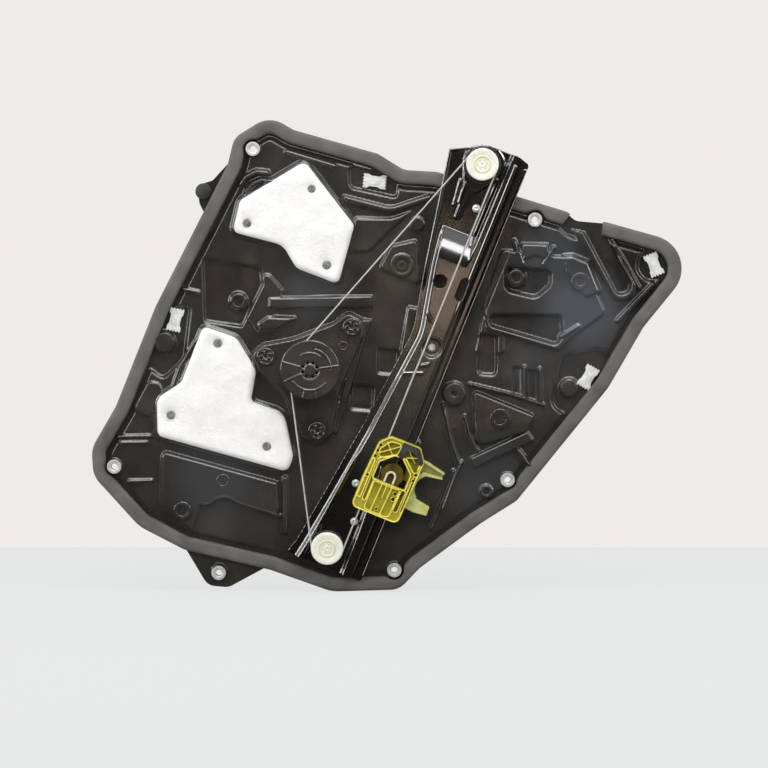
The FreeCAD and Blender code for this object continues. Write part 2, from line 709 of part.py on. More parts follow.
def perimeter_seal():
    """A foam bead with rounded shoulders, carried along the middle of the rim and open at the channel."""
    low = slab(offset(doc.getObject("rim_outline"), "0 - press_gap"), "press_gap", "seal_shoulder")
    top = slab(offset(doc.getObject("rim_outline"), "0 - press_gap"), "seal_shoulder", "seal_height", "-30")
    hollow = slab(offset(doc.getObject("rim_outline"), "-seal_width"), "-wall", "seal_shoulder")
    flare = slab(offset(doc.getObject("rim_outline"), "-seal_width"), "seal_shoulder", "seal_height", "30")
    mouth = block(
        "mouth_x - mouth_width / 2", "mouth_z - mouth_width", "-wall", "mouth_width",
        "2 * mouth_width", "reach", "seal_mouth",
    )
    bead = cut("seal_ring", fused("seal_bead", [low, top]), [hollow, flare])
    tools = [mouth]
    for n in BOLTS:
        tools.append(post(f"{n}_x", f"{n}_z", "sleeve_boss_radius + press_gap", "-wall", "reach", n + "_notch"))
    return in_panel(cut("perimeter_seal", bead, tools), "perimeter_seal")


def acoustic_pads():
    """Two felt pads that stand on their seats, each held by three heat stakes."""
    nodes = []
    for name, stakes in (("upper", list(STAKES)[:3]), ("lower", list(STAKES)[3:])):
        base = slab(doc.getObject(f"{name}_pad_outline"), "seat_height + pad_gap", "seat_height + pad_gap + pad_thickness")
        holes = [
            post(f"{n}_x", f"{n}_z", "stake_radius + stake_hole_gap", "0", "reach", n + "_eye") for n in stakes
        ]
        nodes.append(in_panel(cut(f"{name}_pad", base, holes), f"{name}_acoustic_pad"))
    profile = [
        ("0", "seat_height - wall"),
        ("stake_radius", "seat_height - wall"),
        ("stake_radius", "seat_height + pad_gap + pad_thickness + press_gap"),
        ("stake_head", "seat_height + pad_gap + pad_thickness + press_gap"),
        ("stake_head - 0.6", "seat_height + pad_gap + pad_thickness + press_gap + stake_head_thickness"),
        ("0", "seat_height + pad_gap + pad_thickness + press_gap + stake_head_thickness"),
    ]
    return nodes, turned("stake", profile)


def mounting_sleeve():
    """A flanged steel sleeve that takes the clamping load of a door bolt."""
    low = "-(wall + sleeve_foot)"
    under = "sleeve_boss_height + press_gap"
    top = "sleeve_boss_height + press_gap + sleeve_flange_thickness"
    profile = [
        ("bolt_bore", low),
        ("sleeve_radius", low),
        ("sleeve_radius", under),
        ("sleeve_flange", under),
        ("sleeve_flange", f"{top} - 0.4"),
        ("sleeve_flange - 0.4", top),
        ("bolt_bore", top),
    ]
    return turned("sleeve", profile)


def trim_clip():
    """A moulded clip with two wings, a waist and a barbed stem, lying along x."""
    head = block(
        "-clip_length / 2", "-clip_width / 2", "pocket_floor + press_gap", "clip_length", "clip_width",
        "clip_thickness", "clip_head",
    )
    notches = []
    for k in (-1, 1):
        notches.append(
            post("0", f"{k} * (clip_width / 2 + 1.6)", "clip_width / 2 + 1.6 - clip_waist / 2", "-wall", "reach", "clip_notch")
        )
        notches.append(post(f"{k} * (clip_length / 2 + 1)", "0", "2.4", "-wall", "reach", "clip_end_notch"))
    wings = cut("clip_wings", head, notches)
    stem = post("0", "0", "clip_stem", "-(wall + press_gap)", "pocket_floor + press_gap", "clip_stem")
    barb = post("0", "0", "clip_barb", "-clip_depth", "-(wall + press_gap)", "clip_barb")
    hub = post("0", "0", "3.0", "pocket_floor + press_gap", "pocket_floor + press_gap + clip_thickness + 1.2", "clip_hub")
    return fused("clip", [wings, stem, barb, hub])


def edge_buffer():
    """A rubber buffer with a neck that snaps into the lug on the left edge."""
    profile = [
        ("0", "-(wall + press_gap + buffer_back)"),
        ("buffer_radius - 1.5", "-(wall + press_gap + buffer_back)"),
        ("buffer_radius", "-(wall + press_gap + buffer_back) + 1.5"),
        ("buffer_radius", "-(wall + press_gap)"),
        ("buffer_neck", "-(wall + press_gap)"),
        ("buffer_neck", "press_gap"),
        ("buffer_radius", "press_gap"),
        ("buffer_radius", "buffer_front - 1"),
        ("buffer_radius - 1.5", "buffer_front"),
        ("0", "buffer_front"),
    ]
    body = turned("buffer", profile)
    body.Label = "edge_buffer"
    bind(body, "Placement.Base.x", "buffer_x - bolt_lower_x")
    bind(body, "Placement.Base.z", "buffer_z - bolt_lower_z")
    return body


def guide_rail():
    """A pressed steel rail: outer flange, raised web with drafted sides, two recessed ends and rivet wells."""
    back = "rail_flange_height - rail_sheet"
    edge = outline("rail_edge")
    web = outline("rail_plateau")
    flange = slab(edge, back, "rail_flange_height")
    raised = slab(web, back, "rail_plateau_height")
    under = slab(offset(web, "-rail_sheet"), "0", "rail_plateau_height - rail_sheet")
    hat = cut("rail_hat", fused("rail_raised", [flange, raised]), [under])
    backed = [hat]
    hollows = []
    for n in ("top_recess", "foot_recess"):
        mouth = outline(n)
        backed.append(slab(offset(mouth, "rail_sheet"), back, "rail_plateau_height"))
        hollows.append(slab(mouth, "rail_flange_height", "reach"))
    backed.append(post("rivet_middle_across", "rivet_middle_along", "rail_well_radius + rail_sheet", back, "rail_plateau_height", "well_wall"))
    hollows.append(post("rivet_middle_across", "rivet_middle_along", "rail_well_radius", "rail_flange_height", "reach", "well"))
    trimmed = doc.addObject("Part::MultiCommon", "rail_trimmed")
    trimmed.Shapes = [fused("rail_backed", backed), slab(edge, back, "rail_plateau_height")]
    sunk = cut("rail_sunk", trimmed, hollows)
    lip = block(
        "rail_right - rail_sheet", "rail_edge_0_z + 4", back, "rail_sheet",
        "rail_edge_2_z - rail_edge_0_z - 10", f"rail_lip_height - ({back})", "rail_lip",
    )
    holes = [post("rail_hole_s", "rail_hole_t", "rail_hole_radius", "0", "reach", "rail_hole")]
    for k in (-1, 1):
        end = f"rail_slot_t + {k} * (rail_slot_length - rail_slot_width) / 2"
        holes.append(post("rail_slot_s", end, "rail_slot_width / 2", "0", "reach", "rail_slot_end"))
    holes.append(
        block(
            "rail_slot_s - rail_slot_width / 2", "rail_slot_t - (rail_slot_length - rail_slot_width) / 2", "0",
            "rail_slot_width", "rail_slot_length - rail_slot_width", "reach", "rail_slot",
        )
    )
    for n in RIVETS:
        holes.append(post(f"{n}_across", f"{n}_along", "rivet_radius + press_gap", "0", "reach", n + "_rail_hole"))
    for along in ("0", "pulley_spacing"):
        holes.append(post("0", along, "journal_radius + press_gap", "0", "reach", "journal_hole"))
    return in_rail(cut("guide_rail", fused("rail_solids", [sunk, lip]), holes), "guide_rail")


def rail_rivet():
    """A rivet from the rail's face through its boss to the panel's dry side."""
    head = "rail_flange_height + press_gap"
    tail = "-(wall + press_gap)"
    profile = [
        ("0", f"{tail} - 1.5"),
        ("rivet_tail", f"{tail} - 1.5"),
        ("rivet_tail", tail),
        ("rivet_radius", tail),
        ("rivet_radius", head),
        ("rivet_head", head),
        ("rivet_head - 0.3", f"{head} + rivet_head_thickness * 0.5"),
        ("rivet_head - 1.4", f"{head} + rivet_head_thickness"),
        ("0", f"{head} + rivet_head_thickness"),
    ]
    return turned("rivet", profile)


def pulley_journal():
    """A stepped steel pin riveted to the rail, on which a pulley turns."""
    low = "cable_height - pulley_width / 2"
    top = "cable_height + pulley_width / 2 - pulley_web - 0.4"
    profile = [
        ("0", "rail_flange_height - rail_sheet - 1"),
        ("journal_radius + 1.5", "rail_flange_height - rail_sheet - 1"),
        ("journal_radius + 1.5", "rail_flange_height - rail_sheet - press_gap"),
        ("journal_radius", "rail_flange_height - rail_sheet - press_gap"),
        ("journal_radius", "rail_flange_height + press_gap"),
        ("journal_collar", "rail_flange_height + press_gap"),
        ("journal_collar", f"{low} - 0.3"),
        ("journal_radius", f"{low} - 0.3"),
        ("journal_radius", f"{top} - 0.5"),
        ("journal_radius - 0.5", top),
        ("0", top),
    ]
    return turned("journal", profile)


def pulley(name, along):
    """A grooved pulley with a closed face and a raised ring, running on its journal."""
    low = "cable_height - pulley_width / 2"
    high = "cable_height + pulley_width / 2"
    floor = "pulley_line - cable_radius - cable_gap"
    groove = "cable_radius + cable_gap"
    bore = "journal_radius + running_gap"
    profile = [
        (bore, low),
        ("pulley_radius - 1", low),
        ("pulley_radius", f"{low} + 0.8"),
        ("pulley_radius", f"cable_height - ({groove}) - 0.9"),
        (floor, f"cable_height - ({groove})"),
        (floor, f"cable_height + ({groove})"),
        ("pulley_radius", f"cable_height + ({groove}) + 0.9"),
        ("pulley_radius", f"{high} - 0.8"),
        ("pulley_radius - 1", high),
        ("pulley_ring + 0.8", high),
        ("pulley_ring", f"{high} - 0.8"),
        ("pulley_ring - 0.8", high),
        ("0", high),
        ("0", f"{high} - pulley_web"),
        (bore, f"{high} - pulley_web"),
    ]
    body = turned(name, profile)
    body.Label = name
    bind(body, "Placement.Base.x", rail_point_x("0", along) + " - bolt_lower_x")
    bind(body, "Placement.Base.z", rail_point_z("0", along) + " - bolt_lower_z")
    return body


def cable_drum():
    """A drum with five cable grooves, a socket for the drive shaft and a bearing bore at the top."""
    low = "cable_height - drum_half_width"
    high = "cable_height + drum_half_width"
    floor = "drum_line - cable_radius - cable_gap"
    profile = [("0", low), ("drum_radius", low)]
    for k in range(-2, 3):
        middle = f"cable_height + {k} * groove_pitch"
        profile += [
            ("drum_radius", f"{middle} - groove_mouth / 2"),
            (floor, f"{middle} - groove_mouth / 2 + 0.1"),
            (floor, f"{middle} + groove_mouth / 2 - 0.1"),
            ("drum_radius", f"{middle} + groove_mouth / 2"),
        ]
    profile += [("drum_radius", high), ("0", high)]
    blank = turned("drum_blank", profile)
    bore = post("0", "0", "drum_post + running_gap", f"{high} - drum_post_depth - 0.4", "reach", "drum_bore")
    socket = hex_prism("drum_socket", "drum_hex + press_gap", "0", f"{low} + 7")
    return at_drum(cut("cable_drum", blank, [bore, socket]), "cable_drum")


def hex_prism(name, radius, low, high):
    """A hexagonal prism about the height axis; radius is centre to corner."""
    prism = doc.addObject("Part::Prism", name)
    prism.Polygon = 6
    bind(prism, "Circumradius", radius)
    bind(prism, "Height", f"({high}) - ({low})")
    prism.Placement = UPRIGHT
    bind(prism, "Placement.Base.y", f"-({low})")
    return prism


def at_drum(node, name):
    """A piece modelled about the height axis, moved to the drum's axis."""
    node.Label = name
    bind(node, "Placement.Base.x", rail_point_x("drum_s", "drum_t") + " - bolt_lower_x")
    bind(node, "Placement.Base.z", rail_point_z("drum_s", "drum_t") + " - bolt_lower_z")
    return node


def wound_cable():
    """One stored turn of cable on each side of the working groove."""
    turns = []
    for k in (-1, 1):
        ring = doc.addObject("Part::Torus", "wound_turn")
        bind(ring, "Radius1", "drum_line")
        bind(ring, "Radius2", "cable_radius")
        ring.Placement = UPRIGHT
        bind(ring, "Placement.Base.y", f"-(cable_height + {k} * groove_pitch)")
        turns.append(ring)
    node = doc.addObject("Part::Compound", "wound_cable")
    node.Links = turns
    return at_drum(node, "wound_cable")


def output_shaft():
    """The drive's output shaft: a journal in the gear housing and a hexagonal end in the drum."""
    low = "-(drive_depth - 1)"
    step = "cable_height - drum_half_width - 0.5"
    journal = post("0", "0", "shaft_radius", low, step, "shaft_journal")
    driver = hex_prism("shaft_hex", "drum_hex", step, "cable_height - drum_half_width + 6.5")
    return at_drum(fused("output_shaft", [journal, driver]), "output_shaft")


def cable(name, upward):
    """Half of the cable loop, from the middle of the slider round one pulley to the drum's left side."""
    start, end = cable_lines()[name]
    body = doc.addObject("PartDesign::Body", name + "_cable")
    planes = {f.Role: f for f in body.Origin.OriginFeatures}
    path = body.newObject("Sketcher::SketchObject", name + "_path")
    path.AttachmentSupport = [(planes["XZ_Plane"], "")]
    path.MapMode = "FlatFace"
    bind(path, "AttachmentOffset.Base.z", "cable_height")
    middle = (number("slider_low") + number("slider_high")) / 2
    line = number("pulley_line")
    pulley_t = number("pulley_spacing") if upward else 0.0
    pulley_centre = V(0, pulley_t, 0)
    drum = V(number("drum_s"), number("drum_t"), 0)
    turn = math.atan2(end.y - pulley_t, end.x)
    wrap = math.atan2(start.y - drum.y, start.x - drum.x)
    wrap = wrap if wrap > 0 else wrap + 2 * math.pi
    axis = V(0, 0, 1)
    if upward:
        round_pulley = Part.ArcOfCircle(Part.Circle(pulley_centre, axis, line), 0, turn)
        round_drum = Part.ArcOfCircle(Part.Circle(drum, axis, number("drum_line")), wrap, math.pi)
    else:
        round_pulley = Part.ArcOfCircle(Part.Circle(pulley_centre, axis, line), turn, 0)
        round_drum = Part.ArcOfCircle(Part.Circle(drum, axis, number("drum_line")), math.pi, wrap)
    first = Part.LineSegment(V(line, middle, 0), V(line, pulley_t, 0))
    path.addGeometry([first, round_pulley, Part.LineSegment(end, start), round_drum], False)
    near, far = (1, 2) if upward else (2, 1)
    rules = [
        Sketcher.Constraint("Vertical", 0),
        Sketcher.Constraint("Tangent", 0, 2, 1, near),
        Sketcher.Constraint("Tangent", 1, far, 2, 1),
        Sketcher.Constraint("Tangent", 2, 2, 3, near),
        Sketcher.Constraint("Horizontal", 3, 3, 3, far),
        Sketcher.Constraint("PointOnObject", 1, 3, -2),
    ]
    ties = [(len(rules), "(slider_low + slider_high) / 2")]
    rules.append(Sketcher.Constraint("DistanceY", -1, 1, 0, 1, middle))
    if upward:
        ties.append((len(rules), "pulley_spacing"))
        rules.append(Sketcher.Constraint("DistanceY", -1, 1, 1, 3, pulley_t))
    else:
        rules.append(Sketcher.Constraint("PointOnObject", 1, 3, -1))
    ties.append((len(rules), "pulley_line"))
    rules.append(Sketcher.Constraint("Radius", 1, line))
    ties.append((len(rules), "drum_line"))
    rules.append(Sketcher.Constraint("Radius", 3, number("drum_line")))
    ties.append((len(rules), "-drum_s"))
    rules.append(Sketcher.Constraint("DistanceX", 3, 3, -1, 1, -drum.x))
    ties.append((len(rules), "drum_t"))
    rules.append(Sketcher.Constraint("DistanceY", -1, 1, 3, 3, drum.y))
    path.addConstraint(rules)
    for index, expression in ties:
        bind(path, f"Constraints[{index}]", expression)
    ring = body.newObject("Sketcher::SketchObject", name + "_section")
    ring.AttachmentSupport = [(planes["XY_Plane"], "")]
    ring.MapMode = "FlatFace"
    bind(ring, "AttachmentOffset.Base.z", "(slider_low + slider_high) / 2")
    ring.addGeometry(Part.Circle(V(line, -number("cable_height"), 0), axis, number("cable_radius")), False)
    ring.addConstraint(
        [
            Sketcher.Constraint("Radius", 0, number("cable_radius")),
            Sketcher.Constraint("DistanceX", -1, 1, 0, 3, line),
            Sketcher.Constraint("DistanceY", 0, 3, -1, 1, number("cable_height")),
        ]
    )
    bind(ring, "Constraints[0]", "cable_radius")
    bind(ring, "Constraints[1]", "pulley_line")
    bind(ring, "Constraints[2]", "cable_height")
    doc.recompute()
    pipe = body.newObject("PartDesign::AdditivePipe", name + "_pipe")
    pipe.Profile = ring
    pipe.Spine = path
    body.Tip = pipe
    return in_rail(body, name + "_cable")


def along_tube(name, radius, low, high, across="pulley_line", height="cable_height"):
    """A round bar that lies along the rail."""
    tube = doc.addObject("Part::Cylinder", name)
    bind(tube, "Radius", radius)
    bind(tube, "Height", f"({high}) - ({low})")
    bind(tube, "Placement.Base.x", across)
    bind(tube, "Placement.Base.y", f"-({height})")
    bind(tube, "Placement.Base.z", low)
    return tube


def slider_body():
    """The moulded slider: a ribbed tray over the rail, a jaw round the rail's lip and a claw for the glass."""
    under = "rail_plateau_height + slider_gap"
    floor = f"{under} + slider_floor"
    side = "rail_plateau_right + slider_gap"
    corners = [
        ("slider_left", "slider_low", "7"),
        ("slider_right", "slider_low", "7"),
        ("slider_right", "slider_high - 13", "6"),
        ("slider_right - 7", "slider_high", "4"),
        ("slider_left + 11.5", "slider_high", "6"),
        ("slider_left", "slider_high - 8.5", "5"),
    ]
    tray = doc.addObject("Sketcher::SketchObject", "slider_outline")
    tray.Placement = UPRIGHT
    draw_rounded(tray, corners)
    solids = [slab(tray, under, "slider_height")]
    guard = doc.addObject("Part::MultiCommon", "jaw_trimmed")
    low_jaw = "rail_flange_height - rail_sheet - slider_gap - shoe_thickness"
    guard.Shapes = [
        slab(tray, low_jaw, under),
        block(side, "slider_low", low_jaw, "slider_right", "slider_high - 13 - slider_low", "slider_height", "jaw_zone"),
    ]
    solids.append(guard)
    solids.append(slab(outline("claw"), "claw_low", "claw_high"))
    whole = fused("slider_solids", solids)
    lip = f"rail_lip_height + slider_gap"
    right = "rail_right + slider_gap"
    face = "rail_flange_height + slider_gap"
    rear = "rail_flange_height - rail_sheet - slider_gap"
    tools = [
        # the way of the lip and flange through the jaw
        block(f"{side} - 1", "0", face, f"{right} - ({side}) + 1", "200", f"{lip} - ({face})", "lip_way"),
        block(f"{side} - 1", "0", rear, f"{right} - ({side}) + 1", "200", f"{face} - ({rear})", "flange_way"),
        # behind the flange only the two shoes remain, and none reaches past its depth
        block(f"{side} - 1", "0", f"{low_jaw} - 1", f"{right} - ({side}) + 1 - shoe_depth", "200", "shoe_thickness + 2", "shoe_end"),
        block(f"{side} - 1", "0", f"{low_jaw} - 1", "40", "shoe_low", f"{face} - ({low_jaw}) + 1", "below_shoes"),
        block(f"{side} - 1", "shoe_low + shoe_length", f"{low_jaw} - 1", "40", "shoe_high - shoe_low - shoe_length", f"{face} - ({low_jaw}) + 1", "between_shoes"),
        block(f"{side} - 1", "shoe_high + shoe_length", f"{low_jaw} - 1", "40", "60", f"{face} - ({low_jaw}) + 1", "above_shoes"),
        block(f"{right} + shoe_thickness", "0", f"{low_jaw} - 1", "40", "200", f"claw_low - ({low_jaw}) + 1", "shoe_outside"),
        # the round seat for the glass and its mouth
        post("claw_s", "claw_t", "claw_radius", "0", "reach", "claw_seat"),
        block("claw_s", "claw_t - claw_radius", "0", "30", "2 * claw_radius", "claw_high + 1", "claw_mouth"),
        # the cable's way and the seats of its ferrules
        along_tube("cable_tunnel", "tunnel_radius", "0", "200"),
        along_tube("low_ferrule_seat", "ferrule_radius + press_gap", "ferrule_low - press_gap", "ferrule_low + ferrule_length + press_gap"),
        along_tube("high_ferrule_seat", "ferrule_radius + press_gap", "ferrule_high - press_gap", "ferrule_high + ferrule_length + press_gap"),
        # open cells
        slab(outline("slider_window"), "0", "reach"),
        slab(outline("slider_left_cell"), floor, "reach"),
        slab(outline("slider_right_cell"), f"{under} + 1.2", "reach"),
        block("13.2", "62", f"{floor}", "3.4", "42", "reach", "left_slot"),
        post("14.9", "62", "1.7", floor, "reach", "left_slot_end"),
        block("47.3", "62", f"{floor}", "3.4", "22", "reach", "right_slot"),
        post("49", "62", "1.7", floor, "reach", "right_slot_end"),
        block("20.5", "54.5", "slider_block_height", "24.5", "slider_block_top - 56", "reach", "block_face"),
        post("31", "58", "1.3", floor, "reach", "slider_pin_hole"),
    ]
    for k in range(7):
        tools.append(block("slider_left + slider_wall", f"64 + {k} * 6.4", floor, "3.4", "5", "reach", "left_rung"))
    for k in range(6):
        tools.append(block("slider_right - slider_wall - 3.4", f"66 + {k} * 6.4", floor, "3.4", "5", "reach", "right_rung"))
    ribs = [
        bar("10", "112", "24", "133", "slider_rib", "cable_height + ferrule_radius + 0.4", "slider_height - 0.5", "lattice_one"),
        bar("9", "126", "30", "118", "slider_rib", "cable_height + ferrule_radius + 0.4", "slider_height - 0.5", "lattice_two"),
        bar("28.5", "54", "28.5", "slider_block_top - 1", "slider_rib", "slider_block_height - 1", "slider_height - 0.5", "rib_one"),
        bar("38.5", "54", "38.5", "slider_block_top - 1", "slider_rib", "slider_block_height - 1", "slider_height - 0.5", "rib_two"),
        bar("33.5", "70", "33.5", "slider_block_top - 1", "slider_rib", "slider_block_height - 1", "slider_height - 0.5", "rib_three"),
        bar("40.5", "128", "52", "110", "slider_rib", "slider_height - 3.6", "slider_height - 0.5", "lattice_three"),
        bar("40.5", "119", "52", "126", "slider_rib", "slider_height - 3.6", "slider_height - 0.5", "lattice_four"),
    ]
    shaped = cut("slider_cut", whole, tools)
    return in_rail(fused("slider_body", [shaped] + ribs), "slider_body")


def slider_insert():
    """The dark damping insert in the slider's upper right corner."""
    low = "rail_plateau_height + slider_gap + 1.2 + press_gap"
    piece = slab(outline("slider_insert"), low, "slider_height - 4")
    return in_rail(fused("insert", [piece, block("44", "130", low, "2", "1", "2", "insert_key")]), "slider_insert")


def retaining_clip():
    """The arched clip that stands in the slider's window and holds the glass pin."""
    low = "rail_plateau_height + slider_gap + slider_floor"
    outer = post("clip_arch_s", "clip_arch_t", "clip_arch", low, "slider_height - 1", "arch_outer")
    legs = block(
        "clip_arch_s - clip_arch", "slider_block_top + 2 + press_gap", low, "2 * clip_arch",
        "clip_arch_t - slider_block_top - 2 - press_gap", f"slider_height - 1 - ({low})", "arch_legs",
    )
    inside = post("clip_arch_s", "clip_arch_t", "clip_arch - clip_arch_wall", "0", "reach", "arch_inner")
    gap = block(
        "clip_arch_s - clip_arch + clip_arch_wall", "slider_block_top", "0",
        "2 * (clip_arch - clip_arch_wall)", "clip_arch_t - slider_block_top", "reach", "arch_gap",
    )
    return in_rail(cut("arch", fused("arch_solids", [outer, legs]), [inside, gap]), "retaining_clip")


def cable_ferrules():
    """Two crimped ferrules in the slider, each on the cable with a clear bore."""
    pieces = []
    for low in ("ferrule_low", "ferrule_high"):
        body = along_tube("ferrule", "ferrule_radius", low, f"{low} + ferrule_length")
        way = along_tube("ferrule_way", "ferrule_bore", "0", "200")
        pieces.append(cut("ferrule_bored", body, [way]))
    node = doc.addObject("Part::Compound", "ferrules")
    node.Links = pieces
    return in_rail(node, "cable_ferrules")


def drive_unit():
    """The drive on the dry side: gear housing, cover, motor can, control box and output shaft."""
    drum_x = rail_point_x("drum_s", "drum_t")
    drum_z = rail_point_z("drum_s", "drum_t")
    face = "-(wall + drive_seat_gap)"
    back = "-(wall + drive_seat_gap + drive_depth)"
    parts = [post(drum_x, drum_z, "drive_radius", back, face, "gear_chamber")]
    for n in LOBES:
        parts.append(bar(drum_x, drum_z, f"{n}_x", f"{n}_z", "ear_width", f"{face} - ear_thickness", face, n + "_ear"))
        parts.append(post(f"{n}_x", f"{n}_z", "ear_width / 2", f"{face} - ear_thickness", face, n + "_eye"))
    worm_z = f"{drum_z} - worm_drop"
    parts.append(lying_post("worm_tunnel", f"{drum_x} - worm_left", worm_z, "worm_height", "worm_radius", "worm_left + worm_right"))
    flange = lying_post("motor_flange", f"{drum_x} - worm_left", worm_z, "motor_height", "motor_radius + 1.5", "5")
    parts.append(flange)
    holes = [post(drum_x, drum_z, "shaft_radius + running_gap", f"-(drive_depth - 0.5)", "reach", "shaft_bore")]
    for n in LOBES:
        holes.append(post(f"{n}_x", f"{n}_z", "screw_radius + screw_hole_gap", "-reach", "reach", n + "_ear_hole"))
    housing = in_panel(cut("housing", fused("housing_solids", parts), holes), "drive_gear_housing")
    disc = post(drum_x, drum_z, "drive_radius - 2", f"{back} - press_gap - cover_thickness", f"{back} - press_gap", "cover_disc")
    rings = [
        post(drum_x, drum_z, "drive_radius - 7", f"{back} - press_gap - cover_thickness - 1.5", f"{back} - cover_thickness", "cover_ring"),
    ]
    dish = post(drum_x, drum_z, "drive_radius - 10", f"{back} - press_gap - cover_thickness - 2", f"{back} - press_gap - cover_thickness", "cover_dish")
    beside = lying_post("cover_side", f"{drum_x} - worm_left - 10", worm_z, "worm_height", "worm_radius + 0.3", "worm_left + worm_right + 20")
    cover = in_panel(cut("cover", fused("cover_solids", [disc] + rings), [dish, beside]), "drive_gear_cover")
    can = lying_post("can", f"{drum_x} - worm_left - press_gap - motor_length", worm_z, "motor_height", "motor_radius", "motor_length")
    nose = lying_post("can_nose", f"{drum_x} - worm_left - press_gap - motor_length - 4", worm_z, "motor_height", "6.5", "5")
    motor = in_panel(fused("motor", [can, nose]), "drive_motor_can")
    box = block(f"{drum_x} + worm_right + press_gap", f"{worm_z} - box_width / 2", "box_low", "box_length", "box_width", "box_high - box_low", "box_body")
    shell = block(
        f"{drum_x} + worm_right + press_gap + box_length - 1", f"{worm_z} - socket_length / 2 - 2", "box_high - 6 - socket_width - 2",
        "socket_depth - 2", "socket_length + 4", "socket_width + 4", "socket_shell",
    )
    socket = block(
        f"{drum_x} + worm_right + press_gap + box_length - 5", f"{worm_z} - socket_length / 2", "box_high - 6 - socket_width",
        "socket_depth + 10", "socket_length", "socket_width", "socket_hollow",
    )
    control = in_panel(cut("control", fused("control_solids", [box, shell]), [socket]), "drive_control_box")
    return [housing, cover, motor, control, output_shaft()]


def lying_post(name, x, z, height, radius, length):
    """A round bar that lies along x on the dry side."""
    bar_solid = doc.addObject("Part::Cylinder", name)
    bind(bar_solid, "Radius", radius)
    bind(bar_solid, "Height", length)
    bar_solid.Placement = FreeCAD.Placement(V(0, 0, 0), FreeCAD.Rotation(V(0, 1, 0), 90))
    bind(bar_solid, "Placement.Base.x", x)
    bind(bar_solid, "Placement.Base.y", f"-({height})")
    bind(bar_solid, "Placement.Base.z", z)
    return bar_solid


def drive_screw():
    """A screw that holds the drive through the panel's lobe."""
    seat = "-(wall + drive_seat_gap + ear_thickness + press_gap)"
    profile = [
        ("0", f"{seat} - screw_head_height"),
        ("screw_head", f"{seat} - screw_head_height"),
        ("screw_head", seat),
        ("screw_radius", seat),
        ("screw_radius", "lobe_height - 6"),
        ("0", "lobe_height - 5"),
    ]
    return turned("screw", profile)


nodes = [carrier_panel(), perimeter_seal()]
pads, stake = acoustic_pads()
nodes += pads
sleeve = mounting_sleeve()
clip = trim_clip()
rivet = rail_rivet()
journal = pulley_journal()
screw = drive_screw()
nodes.append(edge_buffer())
nodes.append(guide_rail())
nodes.append(pulley("upper_pulley", "pulley_spacing"))
nodes.append(pulley("lower_pulley", "0"))
nodes += [cable("upper", True), cable("lower", False)]
nodes += [slider_body(), slider_insert(), retaining_clip(), cable_ferrules()]
nodes += [cable_drum(), wound_cable()]
nodes += drive_unit()
doc.recompute()

nodes.append(group("mounting_sleeves", sleeve, [at_panel(f"{n}_x", f"{n}_z") for n in BOLTS]))
nodes.append(group("pad_stakes", stake, [at_panel(f"{n}_x", f"{n}_z") for n in STAKES]))
nodes.append(group("trim_clips", clip, [at_panel(f"{n}_x", f"{n}_z", 0, f"{n}_turn") for n in CLIPS]))
nodes.append(group("drive_screws", screw, [at_panel(f"{n}_x", f"{n}_z") for n in LOBES]))
rivet_places = [(f"{n}_across", f"{n}_along") for n in RIVETS]
nodes.append(
    group("rail_rivets", rivet, [at_panel(rail_point_x(*p), rail_point_z(*p)) for p in rivet_places])
)
journal_places = [("0", "0"), ("0", "pulley_spacing")]
nodes.append(
    group("pulley_journals", journal, [at_panel(rail_point_x(*p), rail_point_z(*p)) for p in journal_places])
)
doc.recompute()

failed = [f"{o.Label} {o.State}" for o in doc.Objects if "Invalid" in o.State or "Error" in o.State]
failed += [n.Label for n in nodes if n.Shape.isNull() or not n.Shape.isValid() or not n.Shape.Solids]
if failed:
    raise RuntimeError("no valid shape: " + ", ".join(failed))

os.makedirs("parts", exist_ok=True)
for node in nodes:
    node.Shape.exportStep(f"parts/{node.Label}.step")
    print(node.Label, len(node.Shape.Solids), round(node.Shape.Volume, 1))
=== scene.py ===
import math

import bmesh
import bpy
import numpy as np
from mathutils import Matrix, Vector


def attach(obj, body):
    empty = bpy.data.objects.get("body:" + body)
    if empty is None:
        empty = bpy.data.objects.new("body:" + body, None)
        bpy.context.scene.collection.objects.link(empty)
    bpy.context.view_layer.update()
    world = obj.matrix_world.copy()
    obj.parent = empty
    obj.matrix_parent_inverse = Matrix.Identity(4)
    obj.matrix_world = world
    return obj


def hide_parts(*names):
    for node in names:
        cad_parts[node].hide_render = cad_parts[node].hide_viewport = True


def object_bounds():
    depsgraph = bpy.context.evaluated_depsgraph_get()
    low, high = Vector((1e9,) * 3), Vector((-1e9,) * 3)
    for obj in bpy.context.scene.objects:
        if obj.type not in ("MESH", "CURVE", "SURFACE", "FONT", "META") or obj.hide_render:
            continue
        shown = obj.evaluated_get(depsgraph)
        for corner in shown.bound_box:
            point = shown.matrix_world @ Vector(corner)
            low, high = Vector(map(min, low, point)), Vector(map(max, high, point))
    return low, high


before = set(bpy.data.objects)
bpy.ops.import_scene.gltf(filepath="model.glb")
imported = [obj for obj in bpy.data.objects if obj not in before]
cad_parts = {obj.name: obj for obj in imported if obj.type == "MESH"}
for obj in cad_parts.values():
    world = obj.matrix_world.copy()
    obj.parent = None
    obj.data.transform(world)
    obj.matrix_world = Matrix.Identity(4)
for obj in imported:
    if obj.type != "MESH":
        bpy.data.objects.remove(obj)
cad_box = [list(map(float, corner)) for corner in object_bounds()]

# Camera and room. The module stands upright on a pale floor in front of a pale wall, and the
# camera looks square at its wet side from a little above.
VIEW_TARGET = Vector((-0.0109, 0.0, 0.1959))
VIEW_DISTANCE = 4.0
VIEW_LIFT = math.radians(2.5)
FRAME_WIDTH = 0.809

